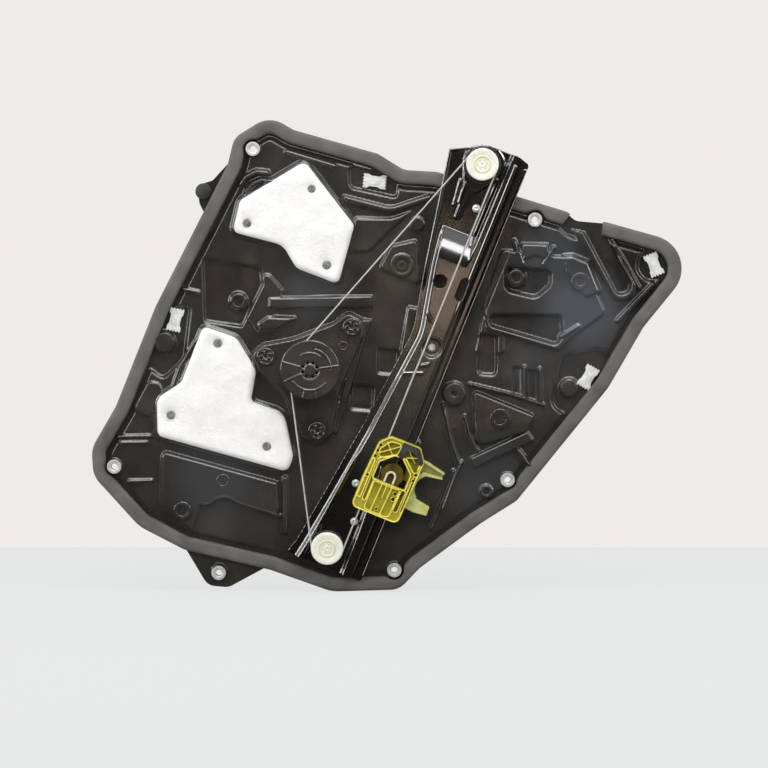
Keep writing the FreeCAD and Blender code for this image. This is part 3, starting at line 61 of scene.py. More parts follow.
camera_data = bpy.data.cameras.new("camera")
camera_data.sensor_width = 36.0
camera_data.lens = 36.0 * VIEW_DISTANCE / FRAME_WIDTH
camera = bpy.data.objects.new("camera", camera_data)
camera.location = VIEW_TARGET + VIEW_DISTANCE * Vector((0, -math.cos(VIEW_LIFT), math.sin(VIEW_LIFT)))
camera.rotation_euler = (math.pi / 2 - VIEW_LIFT, 0, 0)
bpy.context.scene.collection.objects.link(camera)
bpy.context.scene.camera = camera
bpy.context.scene.view_settings.view_transform = "Standard"


def lamp(name, place, size, power, colour=(1, 1, 1)):
    """A rectangular soft lamp that faces the middle of the module."""
    data = bpy.data.lights.new(name, "AREA")
    data.shape = "RECTANGLE"
    data.size, data.size_y = size
    data.energy = power
    data.color = colour
    made = bpy.data.objects.new(name, data)
    made.location = place
    made.rotation_euler = (VIEW_TARGET - Vector(place)).to_track_quat("-Z", "Y").to_euler()
    bpy.context.scene.collection.objects.link(made)


lamp("ceiling_window", (0.2, -0.7, 1.7), (1.6, 0.7), 11)
lamp("overhead_window", (0.0, 0.0, 1.9), (1.8, 0.8), 11)
lamp("left_window", (-1.7, -1.3, 0.7), (0.3, 1.1), 7, (1.0, 0.97, 0.92))
lamp("right_window", (1.6, -1.0, 1.1), (0.3, 0.9), 7, (1.0, 0.96, 0.9))
lamp("left_wall", (-2.0, -0.35, 0.8), (0.9, 1.2), 14)
lamp("right_wall", (2.0, -0.1, 0.8), (0.6, 1.0), 5)
lamp("front_strip", (-0.2, -2.0, 1.25), (1.8, 0.46), 12, (0.97, 0.98, 1.0))
lamp("warm_card", (0.136, -4.4, 0.221), (0.13, 0.11), 0.12, (1.0, 0.73, 0.52))
lamp("warm_card_below", (0.088, -4.4, 0.08), (0.16, 0.28), 0.02, (1.0, 0.85, 0.66))


MIRRORED = (0.03, 0.027, 0.024, 1)


def added(tree, kind, inputs=(), **settings):
    """A new node of a tree with its settings made and each input set to a value or fed by an output."""
    node = tree.nodes.new(kind)
    for key, value in settings.items():
        setattr(node, key, value)
    for slot, value in dict(inputs).items():
        if isinstance(value, bpy.types.NodeSocket):
            tree.links.new(value, node.inputs[slot])
        else:
            node.inputs[slot].default_value = value
    return node


def plain_room(name, colour, seen, share):
    """A matte surface that is lit like any other but shows the camera an even pale tone by a share, and
    shows the gloss a dark one."""
    material = bpy.data.materials.new(name)
    material.use_nodes = True
    tree = material.node_tree
    tree.nodes.clear()
    matte = added(tree, "ShaderNodeBsdfDiffuse", {"Color": (*colour, 1)}).outputs[0]
    glow = added(tree, "ShaderNodeEmission", {"Color": (*seen, 1)}).outputs[0]
    dark = added(tree, "ShaderNodeEmission", {"Color": MIRRORED}).outputs[0]
    ray = added(tree, "ShaderNodeLightPath").outputs
    inputs = {0: ray["Is Camera Ray"], 1: share}
    part = added(tree, "ShaderNodeMath", inputs, operation="MULTIPLY").outputs[0]
    mixed = added(tree, "ShaderNodeMixShader", {0: part, 1: matte, 2: glow}).outputs[0]
    mirrored = added(tree, "ShaderNodeMixShader", {0: ray["Is Glossy Ray"], 1: mixed, 2: dark}).outputs[0]
    added(tree, "ShaderNodeOutputMaterial", {"Surface": mirrored})
    return material


FLOOR_SEEN = (0.83, 0.838, 0.84)
WALL_SEEN = (0.86, 0.835, 0.805)
FLOOR_EDGE = 0.53
floor_level = cad_box[0][2]
for name, near, far, colour, seen, share in (
    ("floor", -1.6, FLOOR_EDGE, (0.5, 0.5, 0.5), FLOOR_SEEN, 0.85),
    ("far_floor", FLOOR_EDGE, 6.0, (0.62, 0.61, 0.59), WALL_SEEN, 1.0),
):
    mesh = bpy.data.meshes.new(name)
    corners = [(x, y, floor_level) for x, y in ((-5, near), (5, near), (5, far), (-5, far))]
    mesh.from_pydata(corners, [], [(0, 1, 2, 3)])
    mesh.materials.append(plain_room(name + "_tone", colour, seen, share))
    made = bpy.data.objects.new(name, mesh)
    bpy.context.scene.collection.objects.link(made)


def room_world():
    """The room that the gloss reflects: dim in front with warm patches, bright from the ceiling and from
    both sides, broken up by slow clouds. The camera itself sees the pale wall."""
    world = bpy.data.worlds.new("room")
    bpy.context.scene.world = world
    world.use_nodes = True
    tree = world.node_tree
    place = added(tree, "ShaderNodeTexCoord").outputs["Generated"]
    axes = added(tree, "ShaderNodeSeparateXYZ", {"Vector": place}).outputs
    noise = added(tree, "ShaderNodeTexNoise", {"Vector": place, "Scale": 3.2, "Detail": 2.0}).outputs["Fac"]

    def reach(source, low, high, first, second):
        """A value mapped between two limits, held at both ends."""
        limits = {"From Min": low, "From Max": high, "To Min": first, "To Max": second}
        return added(tree, "ShaderNodeMapRange", {"Value": source, **limits}).outputs["Result"]

    def together(first, second, how="ADD"):
        """The sum of two values, or their product."""
        return added(tree, "ShaderNodeMath", {0: first, 1: second}, operation=how).outputs[0]

    ceiling = reach(axes["Z"], 0.2, 0.5, 0.0, 0.42)
    left = reach(axes["X"], -0.35, -0.8, 0.0, 0.5)
    right = reach(axes["X"], 0.35, 0.8, 0.0, 0.4)
    clouds = reach(noise, 0.38, 0.6, 0.3, 1.0)
    bright = together(together(ceiling, together(left, right)), clouds, "MULTIPLY")
    share = together(bright, reach(noise, 0.5, 0.68, 0.012, 0.09))
    tones = added(tree, "ShaderNodeValToRGB", {"Fac": share})
    tones.color_ramp.elements[0].color = (0.0, 0.0, 0.0, 1)
    middle = tones.color_ramp.elements.new(0.16)
    middle.color = (0.115, 0.105, 0.095, 1)
    tones.color_ramp.elements[-1].color = (0.97, 0.98, 1.0, 1)
    shade = tree.nodes["Background"]
    shade.inputs["Strength"].default_value = 1.3
    tree.links.new(tones.outputs["Color"], shade.inputs["Color"])
    wall = added(tree, "ShaderNodeBackground", {"Color": (*WALL_SEEN, 1)}).outputs[0]
    seen = added(tree, "ShaderNodeLightPath").outputs["Is Camera Ray"]
    mixed = added(tree, "ShaderNodeMixShader", {0: seen, 1: shade.outputs[0], 2: wall})
    tree.links.new(mixed.outputs[0], tree.nodes["World Output"].inputs["Surface"])


room_world()

# Carrier panel. One moulding of glass-filled polypropylene, a single wall that rises and falls in
# plates, trays and clip pockets inside the flange that carries the seal. It is worked out as a
# height over the door's plane, in millimetres, and skinned on both sides.
WALL = 2.2
DATUM = np.array([321.0, 22.0])
RAIL_FOOT = np.array([250.4, 46.2])
RAIL_LEAN = math.radians(22.0)
RIM = [
    (255, -1, 40), (326, 1, 22), (348, 24, 18), (412, 71, 30), (450, 95, 15), (546, 214, 50),
    (583, 278, 50), (648.7, 358.9, 35), (545, 388, 20), (512, 391, 10), (503, 399, 8),
    (366, 441, 20), (331, 443, 22), (304, 460, 22), (215, 485, 25), (190, 500, 28),
    (153, 477, 20), (146, 449, 25), (70, 300, 60), (28, 195, 30), (2, 150, 30), (4, 121, 28),
    (52, 68, 45), (100, 43, 30), (190, 22, 30),
]
UPPER_PAD = [
    (227, 452, 8), (159, 411, 8), (151, 378, 7), (204, 364, 20), (218, 340, 14), (262, 323, 6),
    (279, 385, 8),
]
LOWER_PAD = [
    (120, 279, 6), (97, 220, 12), (71, 203, 12), (72, 163.5, 8), (209, 125.5, 8),
    (214.5, 142, 10), (205, 188, 18), (170, 200, 6), (176, 233, 14), (155, 267, 14),
]
BOLTS = [(321.0, 22.0), (136.0, 19.0), (26.2, 131.2), (172.5, 465.0), (468.6, 390.8), (440.2, 117.2)]
LOBES = [(185.9, 247.3), (276.2, 278.3), (239.8, 169.1)]


def rail_to_panel(across, along):
    """A point of the rail's frame in the panel's frame: the rail frame leans clockwise about its foot."""
    across, along = np.asarray(across, float), np.asarray(along, float)
    x = RAIL_FOOT[0] + across * math.cos(RAIL_LEAN) + along * math.sin(RAIL_LEAN)
    z = RAIL_FOOT[1] - across * math.sin(RAIL_LEAN) + along * math.cos(RAIL_LEAN)
    return x, z


def panel_to_rail(x, z):
    """The way back: how far across and along the rail a point of the panel's frame lies."""
    x, z = x - RAIL_FOOT[0], z - RAIL_FOOT[1]
    across = x * math.cos(RAIL_LEAN) - z * math.sin(RAIL_LEAN)
    return across, x * math.sin(RAIL_LEAN) + z * math.cos(RAIL_LEAN)


DRUM = np.array(rail_to_panel(-86.9, 167.6))


def rounded(corners, steps=7):
    """A closed line with each corner replaced by a tangent arc of its radius, as an array of points."""
    points = np.array([c[:2] for c in corners], float)
    radius = np.array([c[2] for c in corners], float)
    back = np.roll(points, 1, 0) - points
    ahead = np.roll(points, -1, 0) - points
    back /= np.linalg.norm(back, axis=1)[:, None]
    ahead /= np.linalg.norm(ahead, axis=1)[:, None]
    half = np.arccos(np.clip((back * ahead).sum(1), -1, 1)) / 2
    middle = back + ahead
    middle /= np.linalg.norm(middle, axis=1)[:, None]
    centre = points + middle * (radius / np.sin(half))[:, None]
    first = points + back * (radius / np.tan(half))[:, None] - centre
    last = points + ahead * (radius / np.tan(half))[:, None] - centre
    start = np.arctan2(first[:, 1], first[:, 0])
    sweep = (np.arctan2(last[:, 1], last[:, 0]) - start + math.pi) % (2 * math.pi) - math.pi
    angle = start[:, None] + sweep[:, None] * np.linspace(0, 1, steps)
    arc = np.stack([np.cos(angle), np.sin(angle)], 2) * radius[:, None, None]
    return (centre[:, None, :] + arc).reshape(-1, 2)


def depth_inside(x, z, line, reach=12.0):
    """How far each point lies inside a closed line, negative outside: the least distance to its sides,
    with the sign from counting how many sides a ray crosses. Far outside it is just -reach."""
    result = np.full(x.shape, -reach)
    low, high = line.min(0) - reach, line.max(0) + reach
    near = (x > low[0]) & (x < high[0]) & (z > low[1]) & (z < high[1])
    px, pz = x[near], z[near]
    if px.size == 0:
        return result
    least = np.full(px.shape, np.inf)
    crossings = np.zeros(px.shape, bool)
    for (ax, az), (bx, bz) in zip(line, np.roll(line, -1, 0)):
        ex, ez = bx - ax, bz - az
        length = ex * ex + ez * ez
        if length < 1e-12:
            continue
        share = np.clip(((px - ax) * ex + (pz - az) * ez) / length, 0, 1)
        least = np.minimum(least, (px - ax - share * ex) ** 2 + (pz - az - share * ez) ** 2)
        if ez != 0:
            crossings ^= ((az > pz) != (bz > pz)) & (px < ax + (pz - az) / ez * ex)
    result[near] = np.where(crossings, 1.0, -1.0) * np.sqrt(least)
    return result


def off_line(x, z, line):
    """The distance of each point from an open line of straight runs."""
    least = np.full(x.shape, 1e6)
    for (ax, az), (bx, bz) in zip(line[:-1], line[1:]):
        ex, ez = bx - ax, bz - az
        share = np.clip(((x - ax) * ex + (z - az) * ez) / (ex * ex + ez * ez), 0, 1)
        least = np.minimum(least, np.hypot(x - ax - share * ex, z - az - share * ez))
    return least


def ramp(depth, width):
    """Rises smoothly from 0 at the edge to 1 at a depth of one width: 3t^2 - 2t^3."""
    t = np.clip(depth / width, 0, 1)
    return t * t * (3 - 2 * t)


def lined(rows):
    """The same rows, each with the outline at its end rounded."""
    return [(*row[:-1], rounded(row[-1])) for row in rows]


# Plates give how far the flank starts outside the outline, the top, the flank's width and the outline;
# hollows the floor, the flank's width and the outline; beads the line, half its width and its top;
# bosses the place, radius, top and core radius.
RIM_LINE = rounded(RIM, 9)
PLATES = lined([
    (9.0, 7.0, 9.0, UPPER_PAD),
    (8.0, 7.0, 8.0, LOWER_PAD),
    (0, 6.4, 7.0, [(276, 398, 6), (268, 352, 8), (296, 352, 6), (356, 410, 4), (317, 397, 18)]),
    (0, 9.0, 5.0, [(73, 152, 8), (72, 88, 24), (108, 60, 12), (190, 46, 14), (203, 85, 20), (201, 117, 5)]),
    (0, 9.0, 3.0, [(402, 214, 5), (404, 150, 10), (462, 167, 5), (471, 186, 5)]),
    (0, 9.0, 3.5, [
        (263, 420, 3), (267, 407, 3), (317, 395, 22), (362, 410, 5), (362, 421, 4), (317, 406, 22),
    ]),
    (0, 8.0, 4.0, [
        (433, 362, 6), (412, 300, 8), (416, 274, 5), (494, 250, 7), (507, 264, 6), (546, 292, 8),
        (520, 352, 8),
    ]),
    (0, 8.0, 3.0, [(398, 141, 3), (404, 127, 3), (471, 158, 3), (462, 171, 3)]),
    (0, 8.0, 4.0, [(351, 318, 6), (347, 373, 6), (316, 366, 6), (301, 338, 8)]),
    (0, 8.0, 2.5, [(286, 288, 2), (251, 166, 2), (262, 164, 2), (299, 287, 2)]),
    (0, 8.0, 3.0, [(187, 311, 2), (187, 296, 2), (300, 297, 2), (300, 313, 2)]),
    (0, 8.0, 3.5, [(503, 385, 3), (556, 299, 13), (583, 314, 13), (541, 380, 4)]),
    (0, 12.5, 3.5, [
        (168, 251, 10), (176, 232, 8), (204, 205, 30), (222, 160, 12), (240, 151, 10), (258, 165, 12),
        (266, 212, 30), (291, 268, 10), (289, 288, 9), (272, 296, 9), (256, 284, 12), (214, 268, 60),
        (182, 262, 10),
    ]),
    (0, 8.0, 2.0, [(198, 306, 1), (198, 296, 1), (239, 300, 1), (239, 307, 1)]),
    (0, 8.0, 2.0, [(243, 308, 1), (243, 300, 1), (278, 303, 1), (278, 311, 1)]),
    (0, 9.0, 7.0, [
        (172, 284, 7), (176, 268, 7), (197, 272, 8), (236, 291, 5), (206, 293, 8), (186, 294, 7),
    ]),
    (0, 10.0, 3.5, [
        (451.6, 368, 2), (454, 345, 3), (470, 351, 3), (479.7, 346.2, 2), (486, 356, 3), (484, 367, 2),
    ]),
    (0, 10.5, 9.0, [
        (492, 358, 3), (509, 359.6, 3), (529, 351, 4), (545, 312, 8), (520, 300, 12), (497, 330, 12),
    ]),
    (0, 9.5, 3.0, [(548, 374, 2), (552, 372, 2), (583, 318, 5), (577, 312, 5)]),
    (0, 7.2, 4.0, [(324, 250, 3), (331, 196, 3), (352, 238, 4), (350, 300, 5), (333, 303, 5)]),
    (0, 6.5, 6.0, [
        (209, 318, 6), (196, 286, 10), (176, 262, 8), (168, 280, 8), (150, 292, 6), (186, 344, 10),
    ]),
    (0, 6.0, 5.0, [(60, 225, 12), (40, 188, 10), (66, 178, 8), (86, 222, 12)]),
    (0, 6.5, 5.0, [(300, 160, 8), (330, 120, 10), (352, 118, 6), (352, 160, 10), (318, 188, 6)]),
    (0, 6.0, 5.0, [(418, 330, 6), (402, 246, 8), (440, 246, 8), (440, 300, 6)]),
])
HOLLOWS = lined([
    (0.0, 3.0, [(501, 412, 2), (556, 309, 9), (573, 318, 9), (526, 412, 2)]),
    (0.0, 3.0, [(119, 352, 4), (121, 284, 3), (161, 278, 3), (183, 322, 4), (181, 340, 4)]),
    (0.0, 4.0, [(70, 298, 6), (53, 240, 14), (78, 222, 8), (101, 245, 10), (108, 302, 6)]),
    (0.0, 3.0, [(272, 450, 6), (274, 424, 7), (325, 413, 5), (325, 436, 5)]),
    (0.0, 4.0, [(496, 250, 12), (484, 196, 16), (504, 180, 14), (547, 239, 12), (541, 257, 8)]),
    (0.0, 4.0, [(437, 342, 7), (436, 316, 10), (470, 308, 12), (486, 322, 8), (486, 339, 7)]),
    (0.0, 3.5, [(421, 292, 5), (421, 279, 5), (491, 259, 6), (499, 268, 5), (497, 291, 5)]),
    (2.0, 2.0, [(445.5, 236, 1.5), (446.5, 206, 1.5), (453.5, 206, 1.5), (454.5, 236, 1.5)]),
    (2.0, 2.0, [(461, 233, 1.5), (462, 201, 1.5), (471, 199, 1.5), (471, 232, 1.5)]),
    (5.5, 3.0, [
        (116, 92, 2), (124, 90, 2), (134, 97, 4), (146, 98, 5), (159, 91, 4), (201, 78, 2), (196, 42, 3),
        (108, 62, 4),
    ]),
    (1.4, 3.0, [(303, 256, 3), (303, 229, 3), (324, 227, 3), (325, 254, 3)]),
    (1.4, 3.0, [(276, 218, 3), (275, 191, 3), (298, 189, 3), (300, 216, 3)]),
    (0.4, 4.0, [(410, 272, 4), (408, 228, 6), (429, 226, 6), (430, 270, 4)]),
])
BEADS = [
    ([(160, 428), (166, 436), (176, 441), (188, 440)], 2.2, 10.0),
    ([(165, 420), (172, 429), (182, 433), (192, 431)], 1.8, 8.5),
    ([(30, 162.5), (63, 163)], 1.6, 6.5),
    ([(33, 156), (60, 156.5)], 1.4, 6.0),
    ([(42, 115.5), (65, 116)], 1.6, 6.5),
    ([(99, 318), (115, 314.5)], 1.6, 6.5),
    ([(447, 368), (455, 345)], 2.0, 9.5),
    ([(479, 345), (488, 361)], 2.0, 9.5),
    ([(452, 148), (463, 133)], 2.0, 9.5),
    ([(496, 268), (514, 279)], 1.8, 10.0),
    ([(206, 118), (206, 62)], 2.6, 8.0),
    ([(268, 262), (254, 200)], 1.4, 12.0),
    ([(457.7, 236), (458, 203)], 1.2, 10.0),
    ([(474, 234), (475, 201)], 1.2, 10.0),
    ([(400, 218), (445, 207), (478, 196)], 1.0, 10.0),
    ([(372.8, 197), (379, 165), (388.5, 136)], 1.2, 8.5),
    ([(394.8, 184), (400, 165), (409, 148)], 1.2, 9.0),
    ([(383, 126), (372, 96), (360, 66)], 1.6, 8.5),
    ([(117, 92), (125, 91), (135, 98), (145, 98.6), (158, 92), (200, 79)], 0.9, 9.6),
    ([(372, 86), (383, 116), (392, 136)], 1.2, 8.0),
    ([(85, 205), (96, 236), (112, 262)], 2.2, 6.5),
    ([(228, 170), (214, 205), (206, 236)], 1.8, 7.0),
    ([(392, 285), (408, 330), (424, 372)], 2.4, 7.0),
    ([(556, 285), (592, 322)], 2.4, 7.0),
    ([(208, 462), (258, 447)], 2.0, 7.0),
]
BOSSES = [
    (157, 305, 8.0, 6.0, 5.0), (140.6, 116.6, 7.0, 9.5, 5.2), (98, 85, 9.5, 11.5, 5.5), (79, 262, 10, 8, 0),
    (329, 343, 12, 11, 8), (516, 326, 9.5, 11, 4), (449, 330, 8.5, 8, 4.5), (432, 182, 10.5, 11.5, 6),
    (384, 208, 11, 11, 3), (505, 214, 8.5, 6, 0), (267.3, 258.4, 5.2, 13.6, 3.4),
    (245.4, 194.1, 2.6, 13.4, 1.4), (418, 105, 6.5, 8, 3.5), (345, 386, 7, 8, 0),
]
FIELD_TOP = 4.0
SEAT_TOP = 7.9
SEAT_RADIUS = 9.0
JAW_LANE = (37.5, 63.0)
JAW_LANE_END = 402.0
JAW_LANE_TOP = 6.9
RIGHT_CORNER = (594.0, 343.5)


def panel_height(x, z):
    """The wet face's height: the flange at 0, then the field, plates and beads taken by their maximum, each
    with a smooth flank inside its outline, the hollows blended down to their floors, and the lane that the
    slider's jaw runs over kept below it."""
    rim = depth_inside(x, z, RIM_LINE, 30.0)
    height = FIELD_TOP * ramp(rim - 17.0, 5.0)
    for margin, top, flank, line in PLATES:
        height = np.maximum(height, top * ramp(depth_inside(x, z, line) + margin, flank) * (rim > 12))
    for floor, flank, line in HOLLOWS:
        share = ramp(depth_inside(x, z, line) + 1.0, flank)
        height = height * (1 - share) + floor * share
    tip = ramp(20.0 - np.hypot(x - RIGHT_CORNER[0], z - RIGHT_CORNER[1]), 4.0)
    height = height * (1 - tip)
    for line, half, top in BEADS:
        share = ramp(half + 1.2 - off_line(x, z, line), 2.2)
        height = np.maximum(height, height * (1 - share) + top * share)
    for bx, bz, radius, top, _ in BOSSES:
        foot = ramp(radius + 3.0 - np.hypot(x - bx, z - bz), 3.0)
        height = np.maximum(height, (top - 2.5) * foot * (rim > 15))
    for bx, bz in BOLTS:
        height = np.maximum(height, SEAT_TOP * ramp(SEAT_RADIUS - np.hypot(x - bx, z - bz), 2.0))
    across, along = panel_to_rail(x, z)
    beside = np.minimum(across - JAW_LANE[0], JAW_LANE[1] - across)
    lane = ramp(np.minimum(beside, JAW_LANE_END - along), 2.0)
    return np.minimum(height, height * (1 - lane) + JAW_LANE_TOP * lane)


TAB_LINE = rounded([(96, 52, 3), (124, 5, 14), (146, 3, 14), (196, 30, 3)])
LUG_LINE = rounded([
    (152, 456, 2), (130, 432, 4), (114, 427, 7), (116, 408, 7), (122, 396, 3), (140, 420, 3),
])
DRUM_OPENING = 28.8
BOLT_OPENING = 4.4


def opened(x, z):
    """How far a point lies inside the moulding's edge and clear of the drum's opening and the bolt holes."""
    depth = depth_inside(x, z, RIM_LINE, 30.0) - 1.5
    for line in (TAB_LINE, LUG_LINE):
        depth = np.maximum(depth, depth_inside(x, z, line))
    depth = np.minimum(depth, np.hypot(x - DRUM[0], z - DRUM[1]) - DRUM_OPENING)
    for bx, bz in BOLTS:
        depth = np.minimum(depth, np.hypot(x - bx, z - bz) - BOLT_OPENING)
    return depth


def in_row(flat):
    """Panel-frame x, height, z in millimetres as row-frame metres."""
    return np.stack([flat[:, 0] - DATUM[0], -flat[:, 1], flat[:, 2] - DATUM[1]], 1) / 1000.0


def surface(name, points, faces):
    """A smooth mesh object from an array of points and a list of faces."""
    mesh = bpy.data.meshes.new(name)
    mesh.from_pydata(points.tolist(), [], faces)
    mesh.polygons.foreach_set("use_smooth", np.ones(len(mesh.polygons), bool))
    mesh.update()
    made = bpy.data.objects.new(name, mesh)
    bpy.context.scene.collection.objects.link(made)
    return made


def skin(name, box, pitch, height, depth, keep=None, towards=-1, place=in_row):
    """A sheet over a plane. A square grid is laid over the box, points just outside the sheet's edge are
    moved onto it along the slope of its depth, and every cell with a corner inside is kept. Its y is
    minus the height, and its normals come from the height's slopes."""
    x, z = np.meshgrid(np.arange(box[0], box[2], pitch), np.arange(box[1], box[3], pitch), indexing="ij")
    inside = depth(x, z)
    level = height(x, z)
    slope_x, slope_z = np.gradient(level, pitch)
    out_x, out_z = np.gradient(inside, pitch)
    size = np.hypot(out_x, out_z) + 1e-9
    shift = np.where(inside < 0, -inside, 0) / size
    moved_x, moved_z = x + shift * out_x / size, z + shift * out_z / size
    cell = (inside[:-1, :-1] > 0) | (inside[1:, :-1] > 0) | (inside[1:, 1:] > 0) | (inside[:-1, 1:] > 0)
    if keep is not None:
        cell &= keep(x[:-1, :-1] + pitch / 2, z[:-1, :-1] + pitch / 2)
    index = np.arange(x.size).reshape(x.shape)
    quads = np.stack([index[:-1, :-1], index[1:, :-1], index[1:, 1:], index[:-1, 1:]], 2)[cell]
    if towards > 0:
        quads = quads[:, ::-1]
    used, quads = np.unique(quads, return_inverse=True)
    edge_level = np.where(inside < 0, height(moved_x, moved_z), level)
    flat = np.stack([moved_x.ravel(), edge_level.ravel(), moved_z.ravel()], 1)[used]
    normals = towards * np.stack([slope_x.ravel(), np.ones(x.size), slope_z.ravel()], 1)[used]
    normals /= np.linalg.norm(normals, axis=1)[:, None]
    return surface(name, place(flat), quads.reshape(-1, 4).tolist()), normals


def mottled(tree, scale, low, high, detail):
    """A noise in object space mapped from its middle range to low..high."""
    place = added(tree, "ShaderNodeTexCoord").outputs["Object"]
    noise = added(tree, "ShaderNodeTexNoise", {"Vector": place, "Scale": scale, "Detail": detail})
    limits = {"From Min": 0.3, "From Max": 0.7, "To Min": low, "To Max": high}
    return added(tree, "ShaderNodeMapRange", {"Value": noise.outputs["Fac"], **limits}).outputs["Result"]


def tinted(tree, shader, share, first, second):
    """The base colour runs between two by a share from 0 to 1; each is a colour or what fed it before."""
    mix = added(tree, "ShaderNodeMix", {"Factor": share, "A": first, "B": second}, data_type="RGBA")
    tree.links.new(mix.outputs["Result"], shader.inputs["Base Color"])


def painted_reflection_patches(tree, shader, spots):
    """Soft round patches of painted reflection over the base tone, each given as centre, reach and colour.
    """
    place = added(tree, "ShaderNodeTexCoord").outputs["Object"]
    for centre, radius, colour in spots:
        apart = added(tree, "ShaderNodeVectorMath", {0: place, 1: centre}, operation="DISTANCE")
        limits = {"Value": apart.outputs["Value"], "From Min": radius, "From Max": 0.25 * radius}
        fade = added(tree, "ShaderNodeMapRange", limits, interpolation_type="SMOOTHSTEP")
        before = shader.inputs["Base Color"].links[0].from_socket
        tinted(tree, shader, fade.outputs["Result"], before, (*colour, 1))


def bumped(tree, shader, height, distance):
    """A bump whose height runs over a distance in metres; a second call adds to the first."""
    bump = added(tree, "ShaderNodeBump", {"Height": height, "Distance": distance, "Strength": 1.0})
    before = shader.inputs["Normal"].links
    if before:
        tree.links.new(before[0].from_socket, bump.inputs["Normal"])
    tree.links.new(bump.outputs["Normal"], shader.inputs["Normal"])


def finish(name, colour, rough, metal=0.0, coat=0.0, settings=(), tint=(), painted_reflections=(), dull=(), bumps=()):
    """A new material. The tint is a noise's scale, its detail and the two colours that it runs between, with
    the painted reflections laid over it as soft lighter patches. Dull is a noise's scale, the least and most
    roughness that it gives and its detail. Each bump is a noise's scale, its detail and its height in
    metres."""
    material = bpy.data.materials.new(name)
    material.use_nodes = True
    tree = material.node_tree
    shader = tree.nodes["Principled BSDF"]
    values = {"Base Color": (*colour, 1), "Roughness": rough, "Metallic": metal, "Coat Weight": coat}
    values["Coat Roughness"] = 0.12
    values.update(settings)
    for slot, value in values.items():
        shader.inputs[slot].default_value = value
    if tint:
        scale, detail, first, second = tint
        tinted(tree, shader, mottled(tree, scale, 0, 1, detail), (*first, 1), (*second, 1))
    # Painted reflections: soft lighter patches laid over the base colour in place of reflected light.
    if painted_reflections:
        painted_reflection_patches(tree, shader, painted_reflections)
    if dull:
        tree.links.new(mottled(tree, *dull), shader.inputs["Roughness"])
    for scale, detail, distance in bumps:
        bumped(tree, shader, mottled(tree, scale, 0, 1, detail), distance)
    return material


# Gloss black with slow sink waves from the mould, dull patches of dust and fine rubs, and soft patches of
# painted reflection, grey-blue and warm, lighter than the black.
moulding = finish(
    "moulded_black", (0.026, 0.024, 0.02), 0.2, settings={"IOR": 1.95},
    tint=(14, 4.0, (0.017, 0.0155, 0.014), (0.05, 0.0455, 0.038)),
    # Painted reflections: lighter grey-blue and warm patches standing in for the room seen in the gloss.
    painted_reflections=[
        ((0.196, -0.008, 0.272), 0.065, (0.08, 0.087, 0.102)),
        ((0.165, -0.008, 0.335), 0.05, (0.05, 0.055, 0.06)),
        ((0.145, -0.008, 0.215), 0.05, (0.052, 0.052, 0.052)),
        ((-0.085, -0.006, 0.298), 0.045, (0.055, 0.058, 0.062)),
        ((0.006, -0.006, 0.31), 0.03, (0.06, 0.055, 0.045)),
        ((-0.19, -0.006, 0.1), 0.07, (0.05, 0.051, 0.053)),
        ((0.1, -0.006, 0.09), 0.07, (0.046, 0.046, 0.047)),
    ],
    dull=(30, 0.07, 0.24, 6),
    bumps=[(18, 1.0, 0.0012), (900, 2.0, 0.00002)],
)


def dressed(piece, material, body="carrier", replaced=()):
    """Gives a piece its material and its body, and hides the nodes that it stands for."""
    piece.data.materials.append(material)
    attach(piece, body)
    if replaced:
        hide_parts(*replaced)
    return piece


def left_of_rail(x, z):
    """True where a point lies left of the rail's middle line."""
    return panel_to_rail(x, z)[0] < 0


def right_of_rail(x, z):
    """True on the other side of that line."""
    return ~left_of_rail(x, z)


def back_height(x, z):
    """The cabin face's height: a wall's thickness behind the wet face, but never over 8 mm less the wall."""
    return np.minimum(panel_height(x, z), 8.0) - WALL


PANEL_BOX = (1.0, -3.0, 625.0, 498.0)
for name, pitch, height, keep, towards in (
    ("panel_face_left", 1.2, panel_height, left_of_rail, -1),
    ("panel_face_right", 1.2, panel_height, right_of_rail, -1),
    ("panel_back", 2.0, back_height, None, 1),
):
    piece, normals = skin(name, PANEL_BOX, pitch, height, opened, keep, towards)
    piece.data.normals_split_custom_set_from_vertices(normals)
    dressed(piece, moulding, replaced=("carrier_panel",))

# Posts, lobes and the drum housing of the same moulding. Each is turned about its own axis, the
# lobes and bosses with a rounded rim and a cored top, the housing as a deep cup over the drum.


def turned(profile, centre, segments=48, skip=None):
    """A profile of (radius, height) points carried round a height axis: x is the centre plus radius times
    cosine, z the centre plus radius times sine. Returns points in the row frame and faces."""
    profile = np.array(profile, float)
    angle = np.linspace(0, 2 * math.pi, segments, endpoint=False)
    x = centre[0] + profile[:, :1] * np.cos(angle)
    z = centre[1] + profile[:, :1] * np.sin(angle)
    level = np.repeat(profile[:, 1:], segments, 1)
    index = np.arange(x.size).reshape(x.shape)
    after = np.roll(index, -1, 1)
    quads = np.stack([index[:-1], index[1:], after[1:], after[:-1]], 2)
    if skip is not None:
        middle = (profile[:-1] + profile[1:]) / 2
        quads = quads[~skip(middle[:, :1], middle[:, 1:], angle[None, :] + math.pi / segments)]
    return in_row(np.stack([x.ravel(), level.ravel(), z.ravel()], 1)), quads.reshape(-1, 4).tolist()


def tidied(piece, angle):
    """Welds a piece's seams and poles, turns its faces outwards and keeps edges over an angle crisp."""
    work = bmesh.new()
    work.from_mesh(piece.data)
    bmesh.ops.remove_doubles(work, verts=work.verts, dist=2e-6)
    bmesh.ops.dissolve_degenerate(work, edges=work.edges, dist=1e-7)
    bmesh.ops.recalc_face_normals(work, faces=work.faces)
    for edge in work.edges:
        edge.smooth = not edge.is_manifold or edge.calc_face_angle(0) < math.radians(angle)
    work.to_mesh(piece.data)
    work.free()
    piece.data.polygons.foreach_set("use_smooth", np.ones(len(piece.data.polygons), bool))
    piece.data.update()
    return piece


